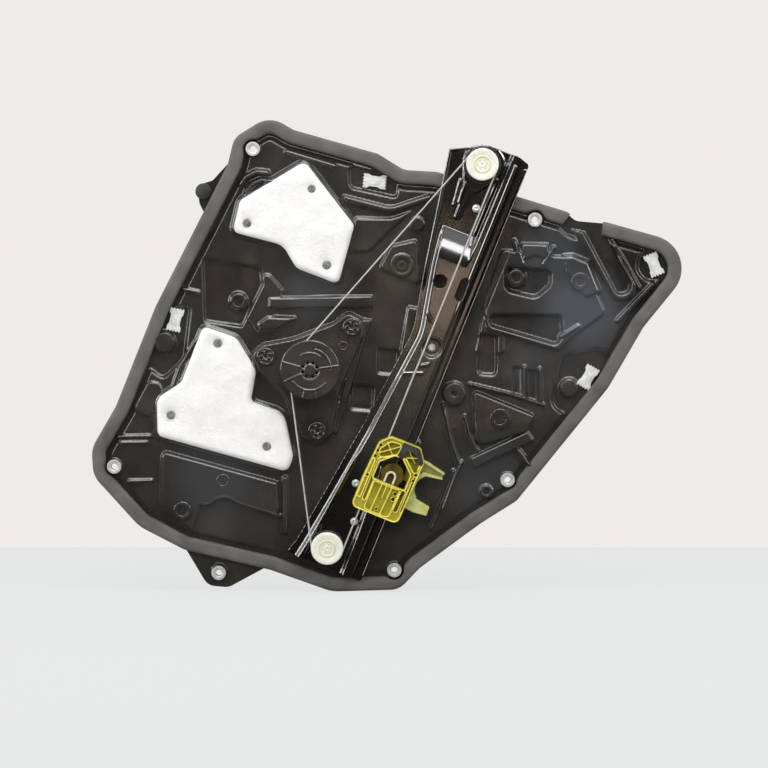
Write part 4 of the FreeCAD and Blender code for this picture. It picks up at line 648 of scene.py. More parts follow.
def gathered(name, parts, angle=35):
    """One tidied mesh object of several forms, each given as points in the row frame and lists of faces."""
    points, faces, count = [], [], 0
    for part_points, part_faces in parts:
        points.append(part_points)
        faces += [[corner + count for corner in face] for face in part_faces]
        count += len(part_points)
    return tidied(surface(name, np.concatenate(points), faces), angle)


def closed(name, box, pitch, top, floor, depth, place=in_row, angle=60):
    """A tidied piece with a skin on both sides, welded along their common edge."""
    face, _ = skin(name, box, pitch, top, depth, place=place)
    back, _ = skin(name + "_back", box, pitch, floor, depth, towards=1, place=place)
    with bpy.context.temp_override(active_object=face, selected_editable_objects=[face, back]):
        bpy.ops.object.join()
    return tidied(face, angle)


def boss_profile(radius, top, hole, low=-1.0):
    """Down the axis of a cored boss: a floor, the core's wall, a rounded lip and the flared outside."""
    lip = 0.9
    turn = np.linspace(0, math.pi / 2, 5)
    outside = [(radius + 1.6, low), (radius + 0.5, low + 3), (radius, top - lip)]
    outside += [(radius - lip + lip * math.cos(a), top - lip + lip * math.sin(a)) for a in turn[1:]]
    if hole:
        inside = [(hole + 0.7 - 0.7 * math.sin(a), top - 0.7 + 0.7 * math.cos(a)) for a in turn]
        floor = max(top - 5.3, 0.4)
        inside += [(hole - 0.2, max(top - 5, 0.6)), (hole - 0.8, floor), (0, floor)]
    else:
        inside = [(radius * 0.55, top + 0.05), (0, top + 0.1)]
    return outside + inside


posts = [turned(boss_profile(radius, top, hole), (x, z), 40) for x, z, radius, top, hole in BOSSES]
posts.append(turned([(5.4, 2), (5.0, 10.4), (4.4, 11), (2.2, 11), (2.0, 9), (0, 9)], BOSSES[4][:2], 32))
posts += [turned([(10.6, 8), (9.8, 11.0), (9.3, 12.3), (0, 12.3)], lobe, 48) for lobe in LOBES]
dressed(gathered("panel_bosses", posts), moulding)

ROPE_SIDES = (math.radians(88.0), math.radians(233.0))
HALF_WINDOW = math.radians(9)
WINDOW_LOW, WINDOW_HIGH = 21.3, 26.7


def exit_window(radius, level, angle):
    """Where the housing's wall is open for the rope: near its height, on the two sides that it leaves by."""
    beside = np.full(angle.shape, math.pi)
    for side in ROPE_SIDES:
        beside = np.minimum(beside, np.abs((angle - side + math.pi) % (2 * math.pi) - math.pi))
    return (beside < HALF_WINDOW) & (level > WINDOW_LOW) & (level < WINDOW_HIGH) & (radius > 28)


housing = [(31.9, 9.0), (31.2, 12.0), (31.0, 21.2), (31.0, 26.8), (30.95, 31.6), (29.5, 31.7), (0, 31.7)]
lining = [
    (0, 31.2), (26.8, 31.2), (28.2, 30.6), (28.8, 29.2), (28.8, 26.8), (28.8, 21.2), (28.8, -2.2),
    (30.6, -2.2),
]
walls = [turned(profile, DRUM, 120, exit_window) for profile in (housing, lining)]
cup = gathered("drum_housing", walls, 30)
dressed(cup, moulding)

HUB_ARCS = [(17.5, 50, 125), (22.0, -5, 75), (21.5, 215, 320)]
HUB_LINES = [(8, 10.8, 30.0), (164, 10.8, 30.0), (205, 10.8, 29.0), (256, 22.0, 30.0), (282, 22.0, 30.0)]
HUB_RING = 7.8
LOBE_RING = 4.9
CAP_TOP = 32.9
CAP_SHEET = 1.2
LOBE_TOP = 15.0


def cap_depth(x, z):
    """How far inside the housing's round top or one of the three lobes."""
    depth = 30.9 - np.hypot(x - DRUM[0], z - DRUM[1])
    for lx, lz in LOBES:
        depth = np.maximum(depth, 9.3 - np.hypot(x - lx, z - lz))
    return depth


def cap_height(x, z):
    """The housing's top with its hub, a ring of small holes, arcs and spokes, and the lobes' tops, each with
    a ring of cored holes; all fall by 0.5 mm at their rims."""
    away = np.hypot(x - DRUM[0], z - DRUM[1])
    around = np.degrees(np.arctan2(z - DRUM[1], x - DRUM[0]))
    level = CAP_TOP + 0.5 * ramp(6.0 - away, 0.6) - 0.5 * ramp(2.2 - np.abs(away - 8.2), 0.5)
    for radius, first, last in HUB_ARCS:
        within = (around - first) % 360 < last - first
        level = level + 0.75 * ramp(1.1 - np.abs(away - radius), 0.7) * within
    for bearing, near, far in HUB_LINES:
        run = np.array([math.cos(math.radians(bearing)), math.sin(math.radians(bearing))])
        line = [tuple(DRUM + near * run), tuple(DRUM + far * run)]
        level = level + 0.7 * ramp(1.0 - off_line(x, z, line), 0.7)
    for k in range(8):
        turn = math.radians(45 * k + 20)
        hole = np.hypot(x - DRUM[0] - HUB_RING * math.cos(turn), z - DRUM[1] - HUB_RING * math.sin(turn))
        level = level - 1.6 * ramp(1.6 - hole, 0.6)
    for lx, lz in LOBES:
        off = np.hypot(x - lx, z - lz)
        own = off < 12
        level = np.where(own, LOBE_TOP - 0.5 * ramp(7.6 - off, 0.6), level)
        for k in range(6):
            turn = math.radians(60 * k + 15)
            hole = np.hypot(x - lx - LOBE_RING * math.cos(turn), z - lz - LOBE_RING * math.sin(turn))
            level = level - own * (2.2 * ramp(1.7 - hole, 0.6) - 0.6 * ramp(0.6 - np.abs(hole - 2.1), 0.4))
        level = level - own * 2.2 * ramp(1.7 - off, 0.6)
    return level - 0.5 * (1 - ramp(cap_depth(x, z), 0.6))


def cap_floor(x, z):
    """The underside of the top and the lobes, one cap's thickness below them."""
    lobe = np.min([np.hypot(x - lx, z - lz) for lx, lz in LOBES], axis=0) < 12
    return np.where(lobe, LOBE_TOP, CAP_TOP) - CAP_SHEET


cap = closed("housing_top", (172, 155, 290, 292), 0.5, cap_height, cap_floor, cap_depth)
dressed(cap, moulding)

# Foam seal. A closed-cell strip bonded on the flange round the rim, with rounded shoulders, drawn
# narrower where it passes a bolt sleeve and left open where the drain channel runs out.
SEAL_WIDTH = 14.5
SEAL_HEIGHT = 9.0
SHOULDER_FOOT = 1.2
SLEEVE_ROOM = 9.6
MOUTH_MIDDLE = 523.0
HALF_MOUTH = 16.8


def around_rim(count):
    """Points spaced evenly along the rim's outer line, with the inward direction at each."""
    line = rounded(RIM, 15)
    steps = np.linalg.norm(np.roll(line, -1, 0) - line, axis=1)
    length = np.concatenate([[0], np.cumsum(steps)])
    at = np.linspace(0, length[-1], count, endpoint=False)
    loop = np.concatenate([line, line[:1]])
    points = np.stack([np.interp(at, length, loop[:, k]) for k in (0, 1)], 1)
    run = np.roll(points, -2, 0) - np.roll(points, 2, 0)
    run /= np.linalg.norm(run, axis=1)[:, None]
    return points, np.stack([-run[:, 1], run[:, 0]], 1)


edge_points, inward = around_rim(900)
width = np.full(len(edge_points), SEAL_WIDTH)
for bolt in BOLTS:
    toward = ((np.array(bolt) - edge_points) * inward).sum(1)
    beside = np.abs(((np.array(bolt) - edge_points) * np.stack([-inward[:, 1], inward[:, 0]], 1)).sum(1))
    clear = toward - np.sqrt(np.clip(SLEEVE_ROOM**2 - beside**2, 0, None)) - 0.3
    passes = (beside < SLEEVE_ROOM) & (toward > 0) & (toward < 30)
    width = np.where(passes, np.minimum(width, clear), width)
kernel = np.hanning(9) / np.hanning(9).sum()
narrow = np.convolve(np.concatenate([width[-4:], width, width[:4]]), kernel, "valid")
width = np.minimum(width, narrow)
turn = np.linspace(0, math.pi, 13)
across = np.concatenate([[0.0], 0.5 - 0.5 * np.sign(np.cos(turn)) * np.abs(np.cos(turn)) ** 0.55, [1.0]])
crown = SHOULDER_FOOT + (SEAL_HEIGHT - SHOULDER_FOOT) * np.sin(turn) ** 0.42
rise = np.concatenate([[0.15], crown, [0.15]])
seal_x = edge_points[:, None, 0] + inward[:, None, 0] * across * width[:, None]
seal_z = edge_points[:, None, 1] + inward[:, None, 1] * across * width[:, None]
seal_points = np.stack([seal_x.ravel(), np.tile(rise, len(edge_points)), seal_z.ravel()], 1)
index = np.arange(len(seal_points)).reshape(len(edge_points), -1)
after = np.roll(index, -1, 0)
around = np.roll(index, -1, 1)
quads = np.stack([index, after, np.roll(after, -1, 1), around], 2)
mouth = (np.abs(edge_points[:, 0] - MOUTH_MIDDLE) < HALF_MOUTH) & (edge_points[:, 1] > 360)
open_here = mouth | np.roll(mouth, -1)
kept = quads[~open_here].reshape(-1, 4)
shut = np.flatnonzero(mouth)
ends = [index[(shut[0] - 1) % len(index)].tolist(), index[(shut[-1] + 1) % len(index)].tolist()]
seal = surface("rim_seal", in_row(seal_points), kept.tolist() + [ends[0], ends[1][::-1]])

# A dull near-black skin with fine cells and slow lumps.
foam_finish = finish(
    "cell_foam", (0.1, 0.094, 0.088), 0.75, tint=(60, 4.0, (0.095, 0.089, 0.082), (0.15, 0.141, 0.13)),
    dull=(120, 0.62, 0.88, 4.0), bumps=[(1400, 2.0, 0.00012), (45, 2.0, 0.0009)],
)
dressed(tidied(seal, 50), foam_finish, replaced=("perimeter_seal",))

# Sound pads. Two die-cut pieces of white polyester felt, pressed thin at the edge and drawn down
# where the panel's heat stakes hold them.
FELT_FOOT = 7.2
STAKES = [(234.2, 423.2), (166.4, 387.5), (249.9, 343.4), (135.5, 261.5), (86.1, 185.9), (186.9, 152.8)]


def felt_height(line, stakes):
    """A pad's top: a rounded shoulder over 6 mm of depth, slow waves, and a dimple at each stake."""

    def height(x, z):
        """The top's height over the door's plane."""
        depth = np.clip(depth_inside(x, z, line) / 6.0, 0, 1)
        body = np.sqrt(1 - (1 - depth) ** 2)
        wave = 0.35 * np.sin(x / 9.0 + 1.3 * np.sin(z / 13.0)) + 0.3 * np.sin(z / 7.0 + x / 23.0)
        level = FELT_FOOT + body * (5.5 + wave)
        for sx, sz in stakes:
            level -= 2.2 * body * np.exp(-(((x - sx) ** 2 + (z - sz) ** 2) / 8.0**2))
        return level

    return height


def felt_foot(x, z):
    """A pad's flat underside."""
    return np.full(x.shape, FELT_FOOT)


# Pale fibres in all directions, a little yellower in random patches.
felt_finish = finish(
    "needled_felt", (0.83, 0.83, 0.81), 0.95, settings={"Sheen Weight": 0.3},
    tint=(90, 6.0, (0.87, 0.865, 0.85), (0.93, 0.93, 0.92)), bumps=[(420, 5.0, 0.00025), (60, 3.0, 0.0008)],
)
for name, corners, stakes in (("upper", UPPER_PAD, STAKES[:3]), ("lower", LOWER_PAD, STAKES[3:])):
    line = rounded(corners)
    box = (*(line.min(0) - 3), *(line.max(0) + 3))
    top = felt_height(line, stakes)
    piece = closed(f"{name}_felt", box, 1.3, top, felt_foot, lambda x, z: depth_inside(x, z, line), angle=80)
    dressed(piece, felt_finish, replaced=(f"{name}_acoustic_pad",))

# Heat stakes. Posts of the moulding, melted over the felt into small domes with a hollow middle.
stake_finish = finish(
    "stake_plastic", (0.2, 0.2, 0.19), 0.5, tint=(260, 4.0, (0.1, 0.1, 0.098), (0.32, 0.32, 0.31)),
    bumps=[(700, 4.0, 0.0002)],
)
STAKE = [
    (2.0, 3.0), (2.0, 10.4), (4.4, 10.6), (4.6, 11.3), (3.9, 12.1), (2.3, 12.4), (1.7, 11.9),
    (0.7, 12.6), (0, 12.7),
]
stakes = gathered("heat_stakes", [turned(STAKE, centre, 28) for centre in STAKES], 40)
dressed(stakes, stake_finish, replaced=("pad_stakes",))

# Bolt sleeves. Rolled steel tubes with a flange, zinc plated and pressed into the moulding: a soft
# grey metal with faint turning marks and dull spots.
zinc_finish = finish(
    "bright_zinc", (0.8, 0.8, 0.78), 0.34, 0.45, tint=(210, 4.0, (0.62, 0.62, 0.6), (0.86, 0.86, 0.84)),
    dull=(320, 0.24, 0.46, 4.0), bumps=[(1100, 4.0, 0.00003)],
)
SLEEVE = [
    (3.4, -2.5), (5.5, -2.5), (5.5, 8.1), (7.3, 8.1), (7.5, 8.3), (7.5, 9.2), (7.2, 9.55), (6.6, 9.6),
    (4.2, 9.6), (3.7, 9.35), (3.4, 8.8), (3.4, -2.5),
]
sleeves = gathered("bolt_sleeves", [turned(SLEEVE, bolt, 48) for bolt in BOLTS], 40)
dressed(sleeves, zinc_finish, replaced=("mounting_sleeves",))


def softened(node, name, width, material, body):
    """A piece with its node's shape: a merged copy of its solid, flat faces made whole, edges rounded."""
    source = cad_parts[node]
    mesh = source.data.copy()
    mesh.name = name
    mesh.materials.clear()
    piece = bpy.data.objects.new(name, mesh)
    bpy.context.scene.collection.objects.link(piece)
    work = bmesh.new()
    work.from_mesh(mesh)
    bmesh.ops.remove_doubles(work, verts=work.verts, dist=2e-6)
    bmesh.ops.dissolve_limit(work, angle_limit=math.radians(0.5), verts=work.verts, edges=work.edges)
    work.to_mesh(mesh)
    work.free()
    if mesh.has_custom_normals:
        with bpy.context.temp_override(active_object=piece, object=piece, selected_objects=[piece]):
            bpy.ops.mesh.customdata_custom_splitnormals_clear()
    mesh.polygons.foreach_set("use_smooth", np.ones(len(mesh.polygons), bool))
    bevel = piece.modifiers.new("rounded_edges", "BEVEL")
    bevel.width = width
    bevel.segments = 2
    bevel.limit_method = "ANGLE"
    bevel.angle_limit = math.radians(38)
    bevel.harden_normals = True
    return dressed(piece, material, body, (node,))


# Trim clips. White acetal clips with two toothed wings, a box with ribs in the middle and a stem that
# snaps into the panel.


def acetal(name, colour, deep):
    """Milky moulded plastic with a soft sheen and faint cloudiness."""
    return finish(
        name, colour, 0.42, settings={"Subsurface Weight": 0.12, "Subsurface Scale": 0.002},
        tint=(160, 4.0, deep, colour), dull=(260, 0.34, 0.52, 4.0), bumps=[(800, 4.0, 0.00005)],
    )


def prism(line, low, high, place):
    """A closed outline in a plane carried from one height to another, with its long edges rounded over."""
    count = len(line)
    out = line - line.mean(0)
    out /= np.linalg.norm(out, axis=1)[:, None]
    rings = []
    for level, inset in ((low, 0.5), (low + 0.5, 0.0), (high - 0.5, 0.0), (high, 0.5)):
        shrunk = line - out * inset
        rings.append(np.stack([shrunk[:, 0], np.full(count, level), shrunk[:, 1]], 1))
    index = np.arange(4 * count).reshape(4, count)
    after = np.roll(index, -1, 1)
    faces = np.stack([index[:-1], index[1:], after[1:], after[:-1]], 2).reshape(-1, 4).tolist()
    return place(np.concatenate(rings)), faces + [index[0].tolist(), index[3].tolist()[::-1]]


clip_finish = acetal("clip_acetal", (0.86, 0.86, 0.84), (0.66, 0.66, 0.64))
CLIPS = [(300.3, 431.0, -6.0), (90.5, 285.5, 78.0), (594.0, 343.5, 112.0), (525.0, 225.2, 61.0)]
teeth = np.stack([11.9 + 0.9 * np.cos(math.pi * np.arange(9)), np.linspace(-6.4, 6.4, 9)], 1)
below = [(3.6, -5.9), (5.0, -6.3), (6.2, -7.3), (11.3, -7.5)]
above = [(11.3, 7.5), (7.4, 7.4), (6.0, 6.0), (3.6, 5.6)]
half = np.concatenate([below, teeth, above])
head = np.concatenate([half, -half])
frame_line = rounded([(-5.4, -3.4, 1.2), (5.4, -3.4, 1.2), (5.4, 3.4, 1.2), (-5.4, 3.4, 1.2)], 3)
rib_line = rounded([(7.4, -0.7, 0.5), (11.2, -0.7, 0.5), (11.2, 0.7, 0.5), (7.4, 0.7, 0.5)], 3)
clip_parts = []
for x, z, degrees in CLIPS:
    turn = math.radians(degrees)
    turned_by = np.array([(math.cos(turn), math.sin(turn)), (-math.sin(turn), math.cos(turn))])
    forms = [(head, 0.1, 3.3), (frame_line, 2.9, 4.1)]
    for side in (1, -1):
        forms += [(side * (rib_line + np.array([0.0, lift])), 2.9, 3.9) for lift in (-4.6, 0.0, 4.6)]
    for line, low, high in forms:
        clip_parts.append(prism(line @ turned_by + np.array([x, z]), low, high, in_row))
    stem = [(0, -7.0), (3.0, -7.0), (4.4, -5.2), (4.4, -2.7), (3.4, -2.6), (3.4, 0.6), (0, 0.6)]
    hub = [(3.0, 3.6), (3.0, 4.3), (2.6, 4.6), (1.2, 4.6), (1.1, 4.2), (0, 4.2)]
    clip_parts += [turned(profile, (x, z), 28) for profile in (stem, hub)]
dressed(gathered("trim_clip_set", clip_parts), clip_finish, replaced=("trim_clips",))

# Edge buffer. A round rubber stop snapped into the lug on the panel's left edge.
rubber = finish(
    "stop_rubber", (0.03, 0.03, 0.031), 0.6, tint=(90, 4.0, (0.02, 0.02, 0.021), (0.05, 0.05, 0.05)),
    bumps=[(500, 4.0, 0.00008)],
)
softened("edge_buffer", "edge_stop", 0.0008, rubber, "carrier")

# Guide rail. Deep-drawn sheet steel under black electrophoretic paint: a raised web with soft
# flanks between a narrow left flange and a folded right lip, sunk at both ends round the pulleys.
RAIL_EDGE = rounded([
    (-38, -20, 3), (46, -20, 3), (46, 452, 4), (33, 455.5, 20), (-4, 455, 25), (-38.5, 437, 2),
    (-17, 318, 90), (-1.5, 246, 70), (-14, 130, 90), (-25, 50, 80), (-33, -4, 20),
])
RAIL_WEB = rounded([
    (-31, -30, 3), (38.4, -30, 3), (38.4, 466, 3), (-32, 466, 4), (-10, 318, 80), (5, 246, 60),
    (-7, 130, 80), (-18, 50, 80), (-26, -4, 20),
])
TOP_SINK = rounded(
    [(-44, 476, 3), (-40, 424, 12), (-19, 330, 5), (-19, 310, 2), (26, 310, 5), (27, 420, 20), (28, 476, 3)]
)
FOOT_SINK = rounded([(26, -42, 3), (25, 30, 12), (21, 118, 6), (-8, 118, 6), (-19, 0, 10), (-21, -42, 3)])
TEARDROP = rounded([
    (-25, 440, 18), (-9, 400, 10), (-8, 372, 4), (-1, 366, 4), (3, 398, 12), (24, 425, 14), (24, 446, 12),
    (0, 466, 22),
])
FLANGE = 12.0
WEB = 20.0
SUNK = 12.05
PULLEYS = (0.0, 434.0)
JOURNAL_HOLE = 4.9
RIVETS = [(11.5, 389.0), (23.0, 236.5), (2.5, 74.0), (16.1, 36.0)]


def rail_height(s, t):
    """The painted face's height: the flange at 12, the web at 20 behind soft flanks, both ends sunk back to
    12 with long slopes, a ring-shaped seat at each pulley and shallow beads along the web."""
    level = FLANGE + (WEB - FLANGE) * ramp(depth_inside(s, t, RAIL_WEB), 4.5)
    for sink in (TOP_SINK, FOOT_SINK):
        depth = depth_inside(s, t, sink, 40.0)
        upper = np.clip((t - 326.0) / 34.0, 0, 1) ** 2
        slope = ramp(depth, 3.5) * np.where(t > 300, upper, ramp(112.0 - t, 30.0))
        level = level - (level - SUNK) * slope
    level = level + 1.6 * ramp(depth_inside(s, t, TEARDROP), 3.0)
    for middle_s, middle_t, radius in ((0, PULLEYS[0], 19.5), (0, PULLEYS[1], 19.5), (*RIVETS[1], 11.5)):
        level = level - (level - SUNK) * ramp(radius - np.hypot(s - middle_s, t - middle_t), 3.0)
    for line, half, rise in (
        ([(-15, 410), (-12, 384)], 1.2, 1.6),
        ([(-9.5, 409), (-8, 388)], 1.0, 1.6),
        ([(5, 200), (24, 208)], 1.3, 0.5),
        ([(-3, 275), (12, 262)], 1.2, 0.9),
        ([(21, 425), (19.5, 350)], 0.8, 1.2),
        ([(20, 215), (26, 219)], 1.4, 0.8),
    ):
        level = level + rise * ramp(half + 1.0 - off_line(s, t, line), 2.0) * ((level > 14) | (t > 340))
    edge_bead = ramp(2.0 - np.abs(depth_inside(s, t, RAIL_EDGE) - 1.8), 1.6) * (s < 0)
    fold = ramp(s - 31.0, 1.5) * ramp(35.6 - s, 2.2) * (t < 446)
    lip = ramp(s - 43.0, 2.4) * (t > -14) * (t < 446)
    level = level + 0.9 * edge_bead * ramp(t - 285.0, 40.0)
    return level + 1.1 * fold * ramp(t - 238.0, 60.0) + 4.0 * lip


def rail_depth(s, t):
    """How far inside the pressing's edge and clear of its round hole, slot and rivet holes."""
    depth = depth_inside(s, t, RAIL_EDGE)
    depth = np.minimum(depth, np.hypot(s - 4.8, t - 304.0) - 7.6)
    depth = np.minimum(depth, off_line(s, t, [(29.8, 296.5), (29.8, 312.5)]) - 4.8)
    for pulley in PULLEYS:
        depth = np.minimum(depth, np.hypot(s, t - pulley) - JOURNAL_HOLE)
    return depth


def rail_place(flat):
    """Rail-frame across, height, along in millimetres as row-frame metres."""
    x, z = rail_to_panel(flat[:, 0], flat[:, 2])
    return in_row(np.stack([x, flat[:, 1], z], 1))


rail, _ = skin("rail_pressing", (-42, -24, 50, 460), 0.85, rail_height, rail_depth, place=rail_place)
sheet = rail.modifiers.new("sheet", "SOLIDIFY")
sheet.thickness = 0.0012
sheet.offset = -1.0


# Glossy black paint: orange peel, a faint brown mottle, painted warm reflections in brown patches along the
# rail, and scuffs.
paint_finish = finish(
    "black_paint", (0.004, 0.0035, 0.0032), 0.1, 0.0, 1.0,
    settings={"IOR": 2.2, "Coat IOR": 1.8, "Coat Roughness": 0.09},
    tint=(9, 3.0, (0.0025, 0.0024, 0.0024), (0.007, 0.0055, 0.0045)),
    # Painted reflections: warm brown patches along the rail's middle standing in for the room seen in the
    # paint.
    painted_reflections=[
        ((0.035, -0.02, 0.2), 0.075, (0.036, 0.034, 0.027)),
        ((0.0, -0.02, 0.13), 0.065, (0.034, 0.033, 0.028)),
        ((0.05, -0.02, 0.25), 0.04, (0.04, 0.032, 0.023)),
    ],
    dull=(46, 0.05, 0.15, 5.0),
    bumps=[(15, 1.5, 0.0004), (650, 2.0, 0.00002)],
)
dressed(rail, paint_finish, replaced=("guide_rail",))
RIVET_HEAD = [
    (2.6, -2.3), (2.6, 12.1), (4.0, 12.15), (4.2, 12.6), (4.0, 13.3), (3.2, 13.95), (2.0, 14.2), (1.2, 13.6),
    (0, 13.5),
]
RIVET_TAIL = [(0, -4.0), (3.2, -4.0), (4.0, -3.4), (4.0, -2.4), (2.6, -2.3)]
rivet_parts = [turned(part, rail_to_panel(s, t), 32) for s, t in RIVETS for part in (RIVET_HEAD, RIVET_TAIL)]
rivets = gathered("rivet_heads", rivet_parts, 40)
dressed(rivets, zinc_finish, replaced=("rail_rivets",))

# Pulleys. Cream acetal wheels with a rope groove, a raised ring and a greased hub mark, each on a
# stepped steel journal that is riveted into the rail.
cream_finish = acetal("pulley_acetal", (0.88, 0.88, 0.8), (0.8, 0.8, 0.68))
hub_finish = acetal("hub_plastic", (0.76, 0.76, 0.42), (0.66, 0.66, 0.3))
WHEEL = [
    (5.06, 20.0), (14.6, 20.0), (15.9, 20.2), (16.8, 20.9), (16.9, 21.6), (15.3, 22.7), (15.0, 23.3),
    (15.0, 24.7), (15.3, 25.3), (16.9, 26.4), (16.8, 27.2), (16.0, 27.9), (15.1, 28.0), (11.6, 27.8),
    (10.4, 27.3), (9.4, 27.3), (8.9, 27.9), (8.2, 28.0), (7.4, 27.9), (7.0, 27.3), (3.4, 27.3), (3.1, 27.7),
    (2.5, 27.9), (1.6, 27.7), (1.3, 27.2), (0, 27.2),
]
WHEEL_BORE = [(0, 26.4), (5.06, 26.4), (5.06, 20.0)]
RING = [(7.3, 27.6), (7.5, 28.02), (8.2, 28.12), (8.9, 28.02), (9.1, 27.6), (7.3, 27.6)]
STUD_RING = 4.9
STUD = [(0.9, 27.0), (0.9, 27.5), (0.6, 27.6), (0, 27.6)]
for name, along in (("upper", PULLEYS[1]), ("lower", PULLEYS[0])):
    body = f"{name}_pulley_body"
    centre = rail_to_panel(0.0, along)
    wheel = gathered(f"{name}_wheel", [turned(WHEEL, centre, 96), turned(WHEEL_BORE, centre, 96)], 30)
    dressed(wheel, cream_finish, body, (f"{name}_pulley",))
    marks = [turned(RING, centre, 72)]
    for k in range(6):
        turn = math.radians(60 * k + 8)
        spot = (centre[0] + STUD_RING * math.cos(turn), centre[1] + STUD_RING * math.sin(turn))
        marks.append(turned(STUD, spot, 12))
    dressed(gathered(f"{name}_wheel_ring", marks, 30), hub_finish, body)
softened("pulley_journals", "journal_pins", 0.0003, zinc_finish, "carrier")

# Wire rope. A 1.6 mm greased steel rope in two runs from the slider round the pulleys to the drum.
rope = finish(
    "greased_rope", (0.62, 0.6, 0.56), 0.38, 0.4, tint=(1500, 2.0, (0.4, 0.38, 0.34), (0.85, 0.83, 0.78)),
    bumps=[(1800, 1.0, 0.0002)],
)
for node in ("upper_cable", "lower_cable", "wound_cable"):
    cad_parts[node].data.materials.clear()
    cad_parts[node].data.materials.append(rope)

# Slider. Yellow acetal, moulded with a tray, ladder cells, a jaw on the rail's lip and a two-pronged
# claw for the glass. A dark insert, an amber disc, the arched clip and the rope's ferrules sit in it.


def yellow_acetal():
    """Translucent yellow with a soft gloss; a deeper green-yellow on its floors is painted shade and a paler
    yellow along its ribs is painted highlight.
    """
    material = finish(
        "slider_yellow", (0.62, 0.55, 0.04), 0.25,
        settings={"Subsurface Weight": 0.15, "Subsurface Scale": 0.003},
        dull=(180, 0.2, 0.4, 4.0), bumps=[(420, 4.0, 0.00006)],
    )
    tree = material.node_tree
    # Painted shade and highlight: the colour runs from deep on the lowest floors to pale on the rib tops by
    # height, with a little noise.
    place = added(tree, "ShaderNodeTexCoord").outputs["Object"]
    depth = added(tree, "ShaderNodeSeparateXYZ", {"Vector": place}).outputs["Y"]
    rise = added(tree, "ShaderNodeMapRange", {"Value": depth, "From Min": -0.0290, "From Max": -0.0317})
    spots = {0: mottled(tree, 70, -0.5, 1, 4.0), 1: 0.25, 2: rise.outputs["Result"]}
    share = added(tree, "ShaderNodeMath", spots, operation="MULTIPLY_ADD").outputs[0]
    shader = tree.nodes["Principled BSDF"]
    tinted(tree, shader, share, (0.37, 0.315, 0.012, 1), (0.87, 0.77, 0.14, 1))
    return material


ROPE_LINE = 16.1
TRAY_BACK = 20.5
TRAY_FLOOR = 29.4
SLIDER_EDGE = rounded([
    (5.5, 51, 7), (59, 51, 7), (60, 84, 40), (61.2, 122, 8), (52, 135.3, 6), (18, 135.3, 8), (8, 125, 6),
    (5.5, 84, 40),
])
SLIDER_WINDOW = rounded(
    [(17.2, 88, 1), (51.2, 88, 1), (51.2, 104, 3), (38, 116.4, 3), (30, 116.4, 3), (17.2, 105, 3)]
)
SLIDER_POCKETS = lined([
    (26.6, [
        (13.0, 111, 3), (13.0, 119, 4), (20.5, 129.5, 6), (32.3, 130.5, 3), (31.0, 119.5, 3), (20, 112, 3),
    ]),
    (26.6, [(14.4, 62.6, 1.6), (17.6, 62.6, 1.6), (17.6, 107, 1.2), (14.4, 107, 1.2)]),
    (23.0, [(48.9, 62.6, 1.8), (52.9, 62.6, 1.8), (53.6, 86, 1.2), (49.8, 86, 1.2)]),
    (28.6, [(20.0, 54.5, 3), (46.5, 54.5, 3), (47.6, 84.6, 1), (19.6, 84.6, 1)]),
    (24.5, [
        (36.6, 130.8, 1), (37.8, 118.5, 1), (41.5, 118.5, 1), (54.8, 107.5, 1), (57.3, 110, 1),
        (57.6, 121, 4), (50.4, 131.4, 4),
    ]),
    (27.0, [(56.0, 64, 1), (58.2, 64, 1), (58.6, 104, 1), (56.4, 104, 1)]),
    (29.6, [(8.2, 64, 1), (11.4, 64, 1), (11.4, 106, 1), (8.2, 106, 1)]),
])
SLIDER_RIBS = [
    ([(17.0, 127.5), (26.4, 117.1)], 0.55), ([(12.5, 114.0), (31.8, 128.7)], 0.55),
    ([(14.0, 108.5), (29.1, 118.0), (31.9, 116.1)], 0.7), ([(28.1, 85.3), (26.8, 54)], 0.6),
    ([(39.1, 85.7), (37.4, 54)], 0.6), ([(33.2, 85.3), (32.9, 71.0)], 0.5),
    ([(39.5, 129.3), (51.6, 117.7)], 0.55), ([(41.3, 119.7), (54.4, 124.4)], 0.55),
    ([(42, 118.5), (54.8, 107.2)], 0.6), ([(57, 112), (57, 120)], 0.5),
]
SLIDER_HOLES = [
    (11.4, 122.2, 1.5), (10.4, 116.0, 1.5), (10.2, 109.8, 1.5), (10.0, 88.4, 1.3), (32.0, 58.4, 1.2),
    (57.4, 106.6, 1.5), (56.9, 99.8, 1.3), (44.5, 80.2, 1.7), (44.5, 74.2, 1.7),
]


def slider_seam(s, t):
    """The tray's back: flat, with a channel along the rope's line."""
    return TRAY_BACK + 4.9 * ramp(2.1 - np.abs(s - ROPE_LINE), 0.5) + 0 * t


def raised(level, share, top):
    """A level drawn up to a top by a share, and never down."""
    return np.maximum(level, level * (1 - share) + top * share)


